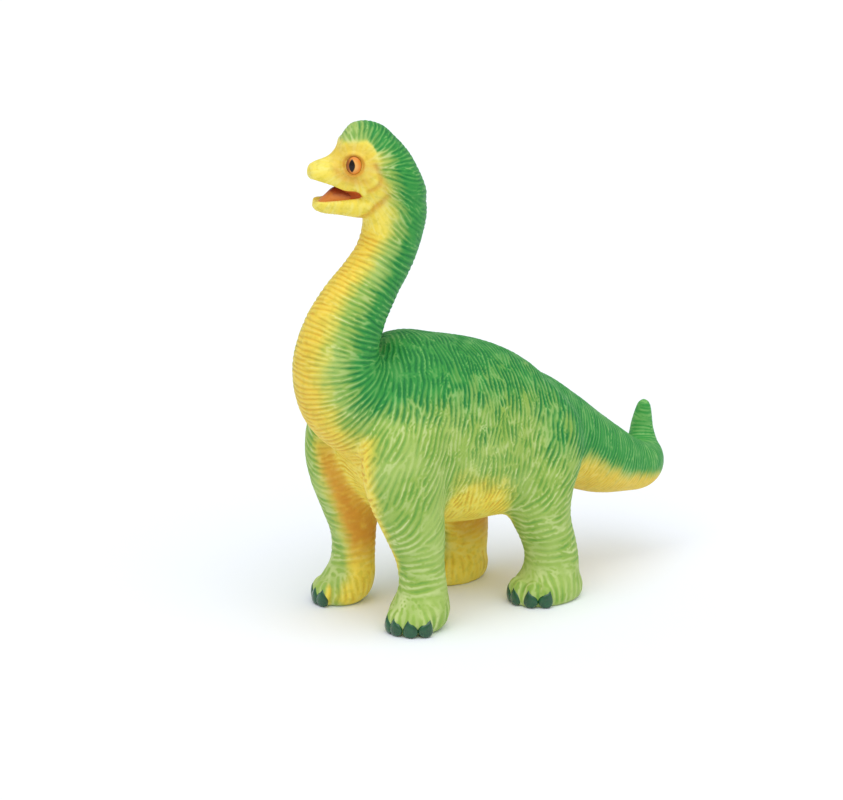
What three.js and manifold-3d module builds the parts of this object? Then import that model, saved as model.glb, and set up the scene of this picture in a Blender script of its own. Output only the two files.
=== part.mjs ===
// Toy dinosaur figure: a young long-necked plant eater that stands on four clawed feet.
// It is moulded in soft vinyl as a hollow trunk of two half shells, with the neck, head, lower jaw,
// tail and four legs as separate mouldings. Each limb beds in a shallow seat of the trunk and is
// keyed by a D-shaped peg.
// Millimetres. +X points to the head end, +Y to the figure's left and +Z up; the soles stand on Z = 0.
import * as THREE from 'three';
import { mergeVertices } from 'three/addons/utils/BufferGeometryUtils.js';
import Module from 'manifold-3d';

const wasm = await Module();
wasm.setup();

// Trunk
const torsoLength = 108;
const torsoDepth = 78;
const torsoWidth = 61;
const bellyHeight = 32;
const breastForward = 46;
const shellWall = 3.6;
const seatDepth = 1.6;
const seamGap = 0.3;

// Neck, an S that swings forward from the shoulders and back to the head
const neckBaseForward = 30;
const neckBaseHeight = 78;
const neckSwing = 21;
const neckRise = 93;
const neckRadius = 15.6;

// Skin folds that ring the neck, legs and tail
const neckFoldPitch = 4.1;
const tailFoldPitch = 5;
const legFoldPitch = 6.6;
const foldDepth = 0.5;

// Tail, which runs back and down, then hooks to the right and up
const tailRootForward = -26;
const tailRootHeight = 67;
const tailReach = 82;
const tailHook = 12.5;
const tailDrop = 29;
const tailRadius = 23;

// Legs
const halfTrack = 22;
const foreStance = 28;
const foreLegHeight = 94;
const foreGirth = 18.5;
const rightForeGirth = 17.5;
const hindStance = -31;
const foreStride = 5;
const hindStride = 15.2;
const hindTuck = 2.4;
const hindLegHeight = 88;
const hindGirth = 19;

// Toes and claws
const toeLength = 4;
const toeWidth = 3.6;
const toeHeight = 5;
const toeRise = 4.8;
const clawThickness = 1.8;
const clawWidth = 2.7;
const clawHeight = 3.2;
const clawRise = 3.3;
const clawLean = 22;

// Head, in its own frame: forward, to the left, up from the point where it turns on the neck
const headForward = 27.6;
const headHeight = 167;
const headTurn = 26;
const skullLength = 44.8;
const skullDepth = 35;
const skullHalfWidth = 12.3;
const skullBack = 15;
const jawLength = 25;
const jawBack = 3;
const jawDepth = 11;
const jawHalfWidth = 9.5;
const jawDrop = 14;
const eyeForward = 13.8;
const eyeRise = 10;
const eyeRadius = 3.1;
const lidWidth = 1.1;
const mouthLength = 12.2;
const mouthHalfWidth = 6;
const mouthHalfHeight = 5;
const mouthForward = 15.5;
const mouthDrop = 3.2;
const tongueLength = 9.5;
const tongueHalfWidth = 5;
const tongueHeight = 5.2;
const tongueDrop = 4.5;

// Keyed pegs and the dowels that line up the two half shells
const legPegRadius = 4;
const legPegLength = 15;
const legPegRise = 60;
const spinePegRadius = 5;
const headPegRadius = 4;
const headPegLength = 14;
const pegRootShare = 0.85;
const pegFlatShare = 0.7;
const bossWall = 2;
const dowelRadius = 1.1;
const dowelLength = 2.8;

// Facets, and how far a surface may move when slivers left by a cut are dropped
const surfaceSlack = 0.08;
const torsoSides = 26;
const torsoRings = 22;
const cavitySides = 12;
const cavityRings = 10;
const neckSides = 14;
const legSides = 14;
const tailSides = 12;
const headSides = 18;
const headRings = 18;
const pegSides = 10;
const toeSides = 7;

// A length past every surface of the figure, for cuts
const overrun = 2 * (torsoLength + neckRise);

// Outline tables. Every column is a share of the size named beside it.
// Trunk: place along it from the breast, top and bottom above the belly line, half width, and the
// height of the widest point between bottom and top
const torsoShares = [
  [0, 0.57, 0.45, 0.16, 0.5],
  [0.012, 0.63, 0.41, 0.25, 0.5],
  [0.037, 0.75, 0.33, 0.45, 0.5],
  [0.093, 0.885, 0.21, 0.68, 0.47],
  [0.167, 0.988, 0.1, 0.84, 0.44],
  [0.26, 1.004, 0.045, 0.94, 0.43],
  [0.39, 0.962, 0.012, 1, 0.42],
  [0.52, 0.904, 0, 1, 0.4],
  [0.648, 0.862, 0.02, 0.97, 0.39],
  [0.76, 0.757, 0.055, 0.89, 0.38],
  [0.85, 0.645, 0.095, 0.76, 0.37],
  [0.926, 0.555, 0.15, 0.57, 0.36],
  [0.98, 0.5, 0.21, 0.4, 0.36],
  [1, 0.46, 0.25, 0.32, 0.35],
];
// Neck: forward as a share of the swing, up as a share of the rise
const neckPathShares = [
  [0.1, 0],
  [0.77, 0.125],
  [1.01, 0.25],
  [0.91, 0.36],
  [0.65, 0.47],
  [0.28, 0.575],
  [-0.07, 0.68],
  [-0.25, 0.79],
  [-0.29, 0.9],
  [-0.23, 1],
];
// Neck radius along its length, as a share of its radius at the shoulders
const neckRadiusShares = [
  [0, 1.2],
  [0.1, 1.2],
  [0.18, 1.17],
  [0.3, 1.02],
  [0.42, 0.93],
  [0.54, 0.815],
  [0.66, 0.715],
  [0.78, 0.72],
  [0.88, 0.77],
  [0.94, 0.69],
  [0.98, 0.56],
  [1, 0.4],
];
// Tail: back as a share of the reach, right as a share of the hook, down as a share of the drop
const tailPathShares = [
  [0, 0, 0],
  [0.1, 0, 0.05],
  [0.296, 0, 0.303],
  [0.45, 0, 0.545],
  [0.602, 0.02, 0.769],
  [0.756, 0.06, 0.941],
  [0.873, 0.16, 1.028],
  [0.95, 0.48, 1],
  [0.985, 0.84, 0.866],
  [1, 1, 0.634],
  [1.008, 1, 0.41],
  [1.01, 0.96, 0.228],
];
// Tail radius along its length, as a share of the named radius
const tailRadiusShares = [
  [0, 0.86],
  [0.074, 0.94],
  [0.24, 0.82],
  [0.379, 0.715],
  [0.509, 0.62],
  [0.629, 0.49],
  [0.722, 0.405],
  [0.805, 0.315],
  [0.879, 0.22],
  [0.944, 0.16],
  [0.986, 0.1],
  [1, 0.02],
];
// Legs: height as a share of the leg, then forward lean, outward lean, half length and half width,
// which are shares of the girth
const foreLegShares = [
  [0, 0.07, 0.016, 0.42, 0.4],
  [0.016, 0.07, 0.016, 0.55, 0.49],
  [0.043, 0.07, 0.01, 0.64, 0.56],
  [0.085, 0.04, 0.01, 0.65, 0.585],
  [0.128, -0.02, 0, 0.56, 0.55],
  [0.17, -0.06, 0, 0.49, 0.5],
  [0.28, -0.01, -0.03, 0.485, 0.52],
  [0.4, 0.12, -0.05, 0.64, 0.59],
  [0.53, 0.28, -0.08, 0.79, 0.65],
  [0.66, 0.31, -0.11, 0.94, 0.68],
  [0.81, 0.17, -0.17, 1.02, 0.64],
  [0.9, 0.05, -0.27, 0.84, 0.5],
  [0.96, 0, -0.34, 0.58, 0.34],
  [1, -0.05, -0.4, 0.06, 0.05],
];
const hindLegShares = [
  [0, -0.045, 0.016, 0.73, 0.53],
  [0.017, -0.05, 0.016, 0.8, 0.58],
  [0.045, -0.055, 0.01, 0.83, 0.61],
  [0.085, -0.09, 0, 0.76, 0.6],
  [0.115, -0.14, 0, 0.63, 0.57],
  [0.165, -0.21, 0, 0.56, 0.54],
  [0.25, -0.15, -0.01, 0.555, 0.56],
  [0.386, 0.07, -0.05, 0.625, 0.62],
  [0.5, 0.09, -0.08, 0.715, 0.68],
  [0.636, -0.01, -0.13, 0.91, 0.71],
  [0.784, -0.05, -0.25, 0.93, 0.65],
  [0.886, 0, -0.42, 0.72, 0.48],
  [0.955, 0.05, -0.52, 0.48, 0.31],
  [1, 0.05, -0.58, 0.06, 0.05],
];
// Skull: place from its back, top and bottom above the lip line, half width, height of the widest point
const lipLineShare = 0.257;
const skullShares = [
  [0, 0.25, 0.21, 0.03, 0.5],
  [0.022, 0.371, 0.114, 0.4, 0.48],
  [0.067, 0.405, 0.057, 0.69, 0.46],
  [0.133, 0.54, 0.014, 0.88, 0.44],
  [0.2, 0.68, 0, 0.96, 0.42],
  [0.267, 0.79, 0, 0.99, 0.4],
  [0.356, 0.9, 0.014, 1, 0.4],
  [0.467, 0.957, 0.071, 0.975, 0.4],
  [0.556, 0.963, 0.114, 0.93, 0.4],
  [0.644, 0.922, 0.143, 0.845, 0.4],
  [0.711, 0.8, 0.175, 0.765, 0.4],
  [0.767, 0.645, 0.23, 0.69, 0.41],
  [0.822, 0.595, 0.27, 0.6, 0.42],
  [0.911, 0.556, 0.322, 0.52, 0.42],
  [0.978, 0.51, 0.365, 0.375, 0.42],
  [1, 0.46, 0.4, 0.03, 0.42],
];
const jawShares = [
  [0, 0.47, 0.43, 0.05, 0.5],
  [0.04, 0.727, 0.26, 0.5, 0.5],
  [0.14, 0.927, 0.15, 0.9, 0.6],
  [0.24, 0.98, 0.14, 0.98, 0.62],
  [0.36, 0.91, 0.165, 0.96, 0.66],
  [0.6, 0.83, 0.27, 0.84, 0.7],
  [0.84, 0.79, 0.35, 0.64, 0.7],
  [0.96, 0.84, 0.46, 0.44, 0.7],
  [1, 0.7, 0.56, 0.05, 0.66],
];
// How steeply a stride fades from the foot to the hip
const foreStrideFade = 6;
const hindStrideFade = 1;
// Toe directions from straight ahead, turned outwards, in degrees
const toeTurns = [-58, -24, 12, 52];
// How far out the eyes sit, as a share of the skull's half width there
const eyeSetShare = 0.95;
// Where the toes and claws sit, as shares of the foot's outline
const toeSeatShare = 0.77;
const clawSeatShare = 0.97;
// How far a claw narrows from its root to its point
const clawTaperShare = 0.72;
// Dowels: place along the trunk
const topDowelShares = [0.4, 0.68];
const bottomDowelShares = [0.36, 0.7];
// Path shares between which each peg runs
const neckPegShares = [0.34, 0.06];
const tailPegShares = [0.42, 0.12];
const headSeamShare = 0.755;

// The figure's colours
const vinyl = {
  green: { color: 0x5fae45, roughness: 0.55, metalness: 0 },
  lightGreen: { color: 0x9cc85c, roughness: 0.55, metalness: 0 },
  darkGreen: { color: 0x2f9a49, roughness: 0.5, metalness: 0 },
  yellow: { color: 0xeccb45, roughness: 0.55, metalness: 0 },
  faceYellow: { color: 0xe6d35a, roughness: 0.5, metalness: 0 },
};

// Smooth value of a table's columns at x, where the first column is x
function readTable(rows, x) {
  const last = rows.length - 1;
  if (x <= rows[0][0]) return rows[0].slice(1);
  if (x >= rows[last][0]) return rows[last].slice(1);
  const i = rows.findIndex((row) => row[0] > x) - 1;
  const [a, b] = [rows[i], rows[i + 1]];
  const width = b[0] - a[0];
  const t = (x - a[0]) / width;
  return a.slice(1).map((_, column) => {
    const k = column + 1;
    const slopeAt = (j) => {
      if (j === 0 || j === last) return (b[k] - a[k]) / width;
      return (rows[j + 1][k] - rows[j - 1][k]) / (rows[j + 1][0] - rows[j - 1][0]);
    };
    const [p, q] = [slopeAt(i) * width, slopeAt(i + 1) * width];
    const cubic = (2 * a[k] - 2 * b[k] + p + q) * t ** 3 + (3 * b[k] - 3 * a[k] - 2 * p - q) * t ** 2;
    return cubic + p * t + a[k];
  });
}

// A closed skin over a row of rings, each a list of points, with its two ends fanned shut
function skin(rings) {
  const sides = rings[0].length;
  const points = rings.flat();
  const centre = (ring) => ring.reduce((sum, p) => sum.add(p), new THREE.Vector3()).divideScalar(sides);
  const startCentre = points.length;
  points.push(centre(rings[0]), centre(rings[rings.length - 1]));
  const faces = [];
  for (let side = 0; side < sides; side += 1) {
    const next = (side + 1) % sides;
    for (let ring = 0; ring < rings.length - 1; ring += 1) {
      const [a, b] = [ring * sides + side, ring * sides + next];
      faces.push(a, b, b + sides, a, b + sides, a + sides);
    }
    const top = (rings.length - 1) * sides;
    faces.push(startCentre, next, side, startCentre + 1, top + side, top + next);
  }
  return solidFrom(points, faces);
}

// A solid of the given points and triangles, turned so that its faces point out
function solidFrom(points, faces) {
  const make = (triangles) => new wasm.Manifold(new wasm.Mesh({
    numProp: 3,
    vertProperties: new Float32Array(points.flatMap((p) => [p.x, p.y, p.z])),
    triVerts: new Uint32Array(triangles),
  }));
  const made = make(faces);
  if (made.volume() > 0) return made;
  const turned = [];
  for (let i = 0; i < faces.length; i += 3) turned.push(faces[i], faces[i + 2], faces[i + 1]);
  return make(turned);
}

// A solid from a three.js geometry placed by a matrix; its corners are shared by position
function solidOf(geometry, matrix = new THREE.Matrix4()) {
  const bare = new THREE.BufferGeometry().setAttribute('position', geometry.getAttribute('position'));
  const shared = mergeVertices(bare.setIndex(geometry.index)).applyMatrix4(matrix);
  const position = shared.getAttribute('position');
  const pointAt = (_, i) => new THREE.Vector3().fromBufferAttribute(position, i);
  return solidFrom(Array.from({ length: position.count }, pointAt), Array.from(shared.index.array));
}

// Matrix that stands a shape built along Z at a point, facing a direction
function facing(point, direction) {
  const up = new THREE.Vector3(0, 0, 1);
  const turn = new THREE.Quaternion().setFromUnitVectors(up, direction.clone().normalize());
  return new THREE.Matrix4().compose(point, turn, new THREE.Vector3(1, 1, 1));
}

// Everything on the far side of a plane through a point
function halfSpace(point, direction) {
  const block = new THREE.BoxGeometry(overrun, overrun, overrun).translate(0, 0, overrun / 2);
  return solidOf(block, facing(point, direction));
}

function ellipsoid(centre, halfSizes, sides = toeSides) {
  const matrix = new THREE.Matrix4().makeTranslation(centre).scale(halfSizes);
  return solidOf(new THREE.SphereGeometry(1, sides, Math.ceil(sides / 2) + 1), matrix);
}

// A D-shaped peg from one point to another, grown all round by a clearance
function keyedPeg(start, end, radius, grow = 0) {
  const direction = end.clone().sub(start);
  const flat = radius * pegFlatShare + grow;
  const round = radius + grow;
  const turn = Math.acos(flat / round);
  const outline = new THREE.Shape();
  outline.absarc(0, 0, round, turn, 2 * Math.PI - turn, false);
  outline.closePath();
  const depth = direction.length() + grow;
  const peg = new THREE.ExtrudeGeometry(outline, { depth, bevelEnabled: false, curveSegments: pegSides });
  return solidOf(peg, facing(start, direction));
}

function roundBar(start, end, radius, sides = pegSides) {
  const direction = end.clone().sub(start);
  const bar = new THREE.CylinderGeometry(radius, radius, direction.length(), sides);
  bar.rotateX(Math.PI / 2).translate(0, 0, direction.length() / 2);
  return solidOf(bar, facing(start, direction));
}

// Rings crowd towards both ends, where a body rounds off
const crowded = (share) => (1 - Math.cos(Math.PI * share)) / 2;

// A body that lies along X, from a table of its top, bottom and half width
function lyingBody(size, grow, sides, rings) {
  const skinRings = [];
  for (let i = 0; i <= rings; i += 1) {
    const share = crowded(i / rings);
    const [top, bottom, half, widest] = readTable(size.shares, share);
    const x = size.start + size.step * (size.length * share + grow * (2 * share - 1));
    const tall = size.depth * (top - bottom) + 2 * grow;
    const wide = size.half * half + grow;
    const low = size.base + (size.depth * (top + bottom) - tall) / 2;
    const middle = low + tall * widest;
    skinRings.push(Array.from({ length: sides }, (_, side) => {
      const angle = (2 * Math.PI * side) / sides;
      const rise = tall * (Math.sin(angle) > 0 ? 1 - widest : widest);
      return new THREE.Vector3(x, wide * Math.cos(angle), middle + rise * Math.sin(angle));
    }));
  }
  return skin(skinRings);
}

// The rings of a limb: a crest and a valley for each fold, level where it is grown to cut a seat
function foldSteps(length, pitch, grow) {
  const steps = 2 * Math.round(length / pitch);
  return Array.from({ length: steps + 1 }, (_, step) => (
    { step, share: step / steps, valley: grow || step % 2 === 0 ? 0 : foldDepth }));
}

// A limb that follows a curve, ringed by skin folds. Its seat is cut by the smooth limb over the
// fold crests.
function sweptLimb(path, radiusShares, radius, pitch, sides, grow) {
  const frames = path.computeFrenetFrames(2 * Math.round(path.getLength() / pitch), false);
  return skin(foldSteps(path.getLength(), pitch, grow).map(({ share, valley, step }) => {
    const centre = path.getPointAt(share);
    const [radiusShare] = readTable(radiusShares, share);
    const reach = radius * radiusShare * (1 - valley / radius) + grow;
    return Array.from({ length: sides }, (_, side) => {
      const angle = (2 * Math.PI * side) / sides;
      return centre.clone()
        .addScaledVector(frames.normals[step], reach * Math.cos(angle))
        .addScaledVector(frames.binormals[step], reach * Math.sin(angle));
    });
  }));
}

// Trunk
const torsoSize = {
  shares: torsoShares, start: breastForward, step: -1, length: torsoLength,
  base: bellyHeight, depth: torsoDepth, half: torsoWidth / 2,
};
const torso = (grow, sides = torsoSides, rings = torsoRings) => lyingBody(torsoSize, grow, sides, rings);

// Neck
const neckPath = new THREE.CatmullRomCurve3(neckPathShares.map(([forward, up]) => new THREE.Vector3(
  neckBaseForward + neckSwing * forward,
  0,
  neckBaseHeight + neckRise * up,
)));
const neckBody = (grow) => (
  sweptLimb(neckPath, neckRadiusShares, neckRadius, neckFoldPitch, neckSides, grow));

// Tail
const tailPath = new THREE.CatmullRomCurve3(tailPathShares.map(([back, right, down]) => new THREE.Vector3(
  tailRootForward - tailReach * back,
  -tailHook * right,
  tailRootHeight - tailDrop * down,
)));
const tailBody = (grow) => (
  sweptLimb(tailPath, tailRadiusShares, tailRadius, tailFoldPitch, tailSides, grow));

// Legs. Side is 1 on the figure's left and -1 on its right.
const foreLeg = {
  shares: foreLegShares,
  height: foreLegHeight,
  stance: foreStance,
  girth: foreGirth,
  strideFade: foreStrideFade,
};
const hindLeg = {
  shares: hindLegShares,
  height: hindLegHeight,
  stance: hindStance,
  girth: hindGirth,
  strideFade: hindStrideFade,
};
const leftForeLeg = { ...foreLeg, side: 1, stride: 0, tuck: 0 };
const rightForeLeg = { ...foreLeg, side: -1, girth: rightForeGirth, stride: foreStride, tuck: 0 };
const leftHindLeg = { ...hindLeg, side: 1, stride: 0, tuck: 0 };
const rightHindLeg = { ...hindLeg, side: -1, stride: hindStride, tuck: hindTuck };

// The middle and half sizes of a leg at a share of its height. A stride carries its foot forward and
// fades upwards.
function legSection(leg, share) {
  const [forward, outward, halfLength, halfWidth] = readTable(leg.shares, share);
  const x = leg.stance + leg.stride * (1 - share) ** leg.strideFade + leg.girth * forward;
  const y = leg.side * (halfTrack - leg.tuck * (1 - share) + leg.girth * outward);
  return {
    centre: new THREE.Vector3(x, y, leg.height * share),
    halfLength: leg.girth * halfLength,
    halfWidth: leg.girth * halfWidth,
  };
}

function legColumn(leg, grow) {
  return skin(foldSteps(leg.height, legFoldPitch, grow).map(({ share, valley }) => {
    const { centre, halfLength, halfWidth } = legSection(leg, share);
    const scale = 1 - valley / leg.girth;
    const lift = grow * (2 * share - 1);
    const reach = [halfLength * scale + grow, halfWidth * scale + grow];
    return Array.from({ length: legSides }, (_, corner) => {
      const angle = (2 * Math.PI * corner) / legSides;
      const arm = new THREE.Vector3(reach[0] * Math.cos(angle), reach[1] * Math.sin(angle), lift);
      return arm.add(centre);
    });
  }));
}

// A ball of unit radius that narrows towards its top
function taperedBall(taper) {
  const ball = new THREE.SphereGeometry(1, toeSides, toeSides - 2).rotateX(Math.PI / 2);
  const position = ball.getAttribute('position');
  for (let i = 0; i < position.count; i += 1) {
    const squeeze = 1 - (taper * (1 + position.getZ(i))) / 2;
    position.setXY(i, position.getX(i) * squeeze, position.getY(i) * squeeze);
  }
  return ball;
}

// The toes fan round the front of the foot, each with a raised claw
function toes(leg) {
  return toeTurns.flatMap((turn) => {
    const angle = THREE.MathUtils.degToRad(leg.side * turn);
    const bump = (height, outwardShare, lean, taper, sizes) => {
      const { centre, halfLength, halfWidth } = legSection(leg, height / leg.height);
      centre.x += outwardShare * halfLength * Math.cos(angle);
      centre.y += outwardShare * halfWidth * Math.sin(angle);
      const tilt = new THREE.Euler(0, -THREE.MathUtils.degToRad(lean), angle, 'ZYX');
      const matrix = new THREE.Matrix4().makeRotationFromEuler(tilt).scale(new THREE.Vector3(...sizes));
      return solidOf(taperedBall(taper), matrix.setPosition(centre));
    };
    return [
      bump(toeRise, toeSeatShare, 0, 0, [toeLength, toeWidth, toeHeight]),
      bump(clawRise, clawSeatShare, clawLean, clawTaperShare, [clawThickness, clawWidth, clawHeight]),
    ];
  });
}

function legPeg(leg, grow) {
  const { centre, halfWidth } = legSection(leg, legPegRise / leg.height);
  const outward = new THREE.Vector3(0, leg.side, 0);
  const start = centre.clone().addScaledVector(outward, halfWidth * pegRootShare);
  const end = start.clone().addScaledVector(outward, -legPegLength);
  return { start, end, radius: legPegRadius, solid: keyedPeg(start, end, legPegRadius, grow) };
}

// A leg is hollowed to fit its seat, and stops short of the neck or tail beside it
function makeLeg(leg) {
  const floor = halfSpace(new THREE.Vector3(), new THREE.Vector3(0, 0, 1));
  return toes(leg).reduce((sum, toe) => sum.add(toe), legColumn(leg, 0))
    .subtract(torso(-seatDepth)).subtract(neckBody(seamGap)).subtract(tailBody(seamGap))
    .add(legPeg(leg, 0).solid).intersect(floor);
}

// Pegs of the neck and tail, and of the head on the neck
function spinePeg(path, [outer, inner], grow) {
  const start = path.getPointAt(outer);
  const end = path.getPointAt(inner);
  return { start, end, radius: spinePegRadius, solid: keyedPeg(start, end, spinePegRadius, grow) };
}

// The seam of head and neck lies across the neck's path
const seamDirection = neckPath.getTangentAt(headSeamShare);
const besideSeam = (distance) => (
  neckPath.getPointAt(headSeamShare).addScaledVector(seamDirection, distance));
const headPeg = (grow) => keyedPeg(
  besideSeam(-headPegLength / 2), besideSeam(headPegLength / 2), headPegRadius, grow);

// The trunk's two half shells, with seats, sockets and dowels
const legs = [leftForeLeg, rightForeLeg, leftHindLeg, rightHindLeg];

function pegsOfTrunk(grow) {
  return [
    ...legs.map((leg) => legPeg(leg, grow)),
    spinePeg(neckPath, neckPegShares, grow),
    spinePeg(tailPath, tailPegShares, grow),
  ];
}

function makeShell() {
  const limbs = legs.map((leg) => legColumn(leg, seamGap));
  limbs.push(neckBody(seamGap), tailBody(seamGap));
  const seatFloor = torso(-seatDepth - seamGap);
  const seats = limbs.reduce((sum, limb) => sum.add(limb)).subtract(seatFloor);
  const hollow = torso(-shellWall, cavitySides, cavityRings);
  const bosses = pegsOfTrunk(0)
    .map(({ start, end, radius }) => roundBar(start, end, radius + seamGap + bossWall))
    .reduce((sum, boss) => sum.add(boss))
    .intersect(seatFloor);
  const sockets = pegsOfTrunk(seamGap).map((peg) => peg.solid).reduce((sum, socket) => sum.add(socket));
  return torso(0).subtract(seats).subtract(hollow).add(bosses).subtract(sockets);
}

// Dowels sit in the rim, midway through the wall, along the back and along the belly
function dowels(radius, length) {
  const place = (share, column, inward) => {
    const height = readTable(torsoShares, share)[column];
    return new THREE.Vector3(breastForward - torsoLength * share, 0,
      bellyHeight + torsoDepth * height + inward * shellWall / 2);
  };
  const places = [
    ...topDowelShares.map((share) => place(share, 0, -1)),
    ...bottomDowelShares.map((share) => place(share, 1, 1)),
  ];
  return places.map((point) => {
    const half = new THREE.Vector3(0, length, 0);
    return roundBar(point.clone().sub(half), point.clone().add(half), radius, toeSides);
  }).reduce((sum, dowel) => sum.add(dowel));
}

function makeTorsoHalf(shell, side) {
  const outward = new THREE.Vector3(0, side, 0);
  const half = shell.intersect(halfSpace(outward.clone().multiplyScalar(seamGap / 2), outward));
  if (side > 0) return half.add(dowels(dowelRadius, dowelLength));
  return half.subtract(dowels(dowelRadius + seamGap, dowelLength + seamGap));
}

function makeNeck() {
  const below = halfSpace(besideSeam(-seamGap / 2), seamDirection.clone().negate());
  return neckBody(0).subtract(torso(-seatDepth)).intersect(below)
    .add(spinePeg(neckPath, neckPegShares, 0).solid).add(headPeg(0));
}

function makeTail() {
  return tailBody(0).subtract(torso(-seatDepth)).add(spinePeg(tailPath, tailPegShares, 0).solid);
}

// Head and jaw, in the head's own frame
const headPlace = new THREE.Matrix4()
  .makeRotationZ(THREE.MathUtils.degToRad(-headTurn))
  .setPosition(headForward, 0, headHeight);
const inHeadFrame = (solid) => solid.transform(headPlace.clone().invert().elements);
const skullSize = {
  shares: skullShares, start: -skullBack, step: 1, length: skullLength,
  base: -skullDepth * lipLineShare, depth: skullDepth, half: skullHalfWidth,
};
const jawSize = {
  shares: jawShares, start: jawBack, step: 1, length: jawLength,
  base: -jawDrop, depth: jawDepth, half: jawHalfWidth,
};
const jawBody = (grow) => lyingBody(jawSize, grow, headSides, Math.round(headRings / 2));
const mouth = () => ellipsoid(new THREE.Vector3(mouthForward, 0, -mouthDrop),
  new THREE.Vector3(mouthLength, mouthHalfWidth, mouthHalfHeight), headSides);

function makeHead() {
  const above = halfSpace(besideSeam(seamGap / 2), seamDirection);
  const stub = inHeadFrame(neckBody(0).intersect(above));
  const skull = lyingBody(skullSize, 0, headSides, headRings);
  const [, , halfShare] = readTable(skullShares, (skullBack + eyeForward) / skullLength);
  const eyes = [1, -1].flatMap((side) => [
    [eyeRadius + lidWidth, lidWidth],
    [eyeRadius, 2 * lidWidth],
  ].map(([across, proud]) => ellipsoid(
    new THREE.Vector3(eyeForward, side * skullHalfWidth * halfShare * eyeSetShare, eyeRise),
    new THREE.Vector3(across, proud, across), headSides / 2)));
  return eyes.reduce((sum, eye) => sum.add(eye), skull.add(stub))
    .intersect(inHeadFrame(above))
    .subtract(jawBody(seamGap)).subtract(mouth()).subtract(inHeadFrame(headPeg(seamGap)));
}

function makeJaw() {
  const tongue = ellipsoid(
    new THREE.Vector3(mouthForward, 0, -tongueDrop),
    new THREE.Vector3(tongueLength, tongueHalfWidth, tongueHeight), headSides / 2 + 1);
  const above = inHeadFrame(halfSpace(besideSeam(seamGap), seamDirection));
  return jawBody(0).subtract(mouth()).add(tongue).intersect(above)
    .subtract(inHeadFrame(headPeg(seamGap)));
}

// A named mesh of a solid in one finish
function piece(name, solid, finish) {
  const { vertProperties, triVerts } = solid.asOriginal().simplify(surfaceSlack).getMesh();
  const geometry = new THREE.BufferGeometry();
  geometry.setAttribute('position', new THREE.BufferAttribute(vertProperties, 3));
  geometry.setIndex(new THREE.BufferAttribute(triVerts, 1));
  geometry.computeVertexNormals();
  const mesh = new THREE.Mesh(geometry, new THREE.MeshStandardMaterial(finish));
  mesh.name = name;
  return mesh;
}

const figure = new THREE.Group();
const shell = makeShell();
figure.add(
  piece('torso_left_shell', makeTorsoHalf(shell, 1), vinyl.green),
  piece('torso_right_shell', makeTorsoHalf(shell, -1), vinyl.green),
  piece('neck', makeNeck(), vinyl.darkGreen),
  piece('tail', makeTail(), vinyl.darkGreen),
  piece('front_left_leg', makeLeg(leftForeLeg), vinyl.lightGreen),
  piece('front_right_leg', makeLeg(rightForeLeg), vinyl.lightGreen),
  piece('hind_left_leg', makeLeg(leftHindLeg), vinyl.lightGreen),
  piece('hind_right_leg', makeLeg(rightHindLeg), vinyl.lightGreen),
);

const headGroup = new THREE.Group();
headPlace.decompose(headGroup.position, headGroup.quaternion, headGroup.scale);
headGroup.add(
  piece('head', makeHead(), vinyl.faceYellow),
  piece('lower_jaw', makeJaw(), vinyl.yellow),
);
figure.add(headGroup);

// The frame's origin is the middle of the figure's footprint, on the floor
const reach = new THREE.Box3().setFromObject(figure, true);
const middle = reach.getCenter(new THREE.Vector3());
figure.position.set(-middle.x, -middle.y, -reach.min.z);

export default figure;
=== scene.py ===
"""Toy dinosaur figure in sprayed vinyl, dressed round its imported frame.

The moulded skin is lofted from the same outlines as the solids, filleted where the limbs meet the
trunk, folded, and parted at the seams, so that each moulding keeps a closed mesh of its own.
Every size is in metres and every named angle in degrees. +X points to the head end, +Y to the
figure's left and +Z up.
"""
import itertools
import math
from dataclasses import dataclass

import bpy
import numpy as np
from mathutils import Matrix, Vector, noise


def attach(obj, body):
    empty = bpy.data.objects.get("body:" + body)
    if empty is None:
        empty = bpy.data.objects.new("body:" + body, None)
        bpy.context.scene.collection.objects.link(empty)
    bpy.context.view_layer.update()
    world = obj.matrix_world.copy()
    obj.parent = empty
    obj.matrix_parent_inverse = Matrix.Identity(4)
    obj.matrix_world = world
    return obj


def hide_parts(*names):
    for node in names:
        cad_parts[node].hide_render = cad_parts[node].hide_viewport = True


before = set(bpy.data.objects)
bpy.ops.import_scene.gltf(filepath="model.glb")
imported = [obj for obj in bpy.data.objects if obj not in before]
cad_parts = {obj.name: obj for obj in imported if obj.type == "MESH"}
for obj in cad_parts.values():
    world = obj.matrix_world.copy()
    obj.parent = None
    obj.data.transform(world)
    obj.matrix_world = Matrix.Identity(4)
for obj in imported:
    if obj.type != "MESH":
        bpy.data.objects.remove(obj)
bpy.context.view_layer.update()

bl_info = {
    "name": "Toy Dinosaur Figure",
    "version": (1, 0, 0),
    "blender": (4, 5, 0),
    "location": "3D View > Sidebar > Figure",
    "description": "Moulds, folds and sprays a toy dinosaur figure",
    "category": "Add Mesh",
}

MM = 0.001
# The figure's modelling origin in the frame: under the shoulders' middle plane, on the floor
MODEL_ORIGIN = np.array((23.2, -0.54, 0)) * MM

# Trunk
TORSO_LENGTH = 108 * MM
TORSO_DEPTH = 78 * MM
TORSO_WIDTH = 61 * MM
BELLY_HEIGHT = 32 * MM
BREAST_FORWARD = 46 * MM

# Neck and tail
NECK_BASE_FORWARD = 30 * MM
NECK_BASE_HEIGHT = 78 * MM
NECK_SWING = 21 * MM
NECK_RISE = 93 * MM
NECK_RADIUS = 15.6 * MM
TAIL_ROOT_FORWARD = -26 * MM
TAIL_ROOT_HEIGHT = 67 * MM
TAIL_REACH = 82 * MM
TAIL_HOOK = 12.5 * MM
TAIL_DROP = 29 * MM
TAIL_RADIUS = 23 * MM

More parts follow.
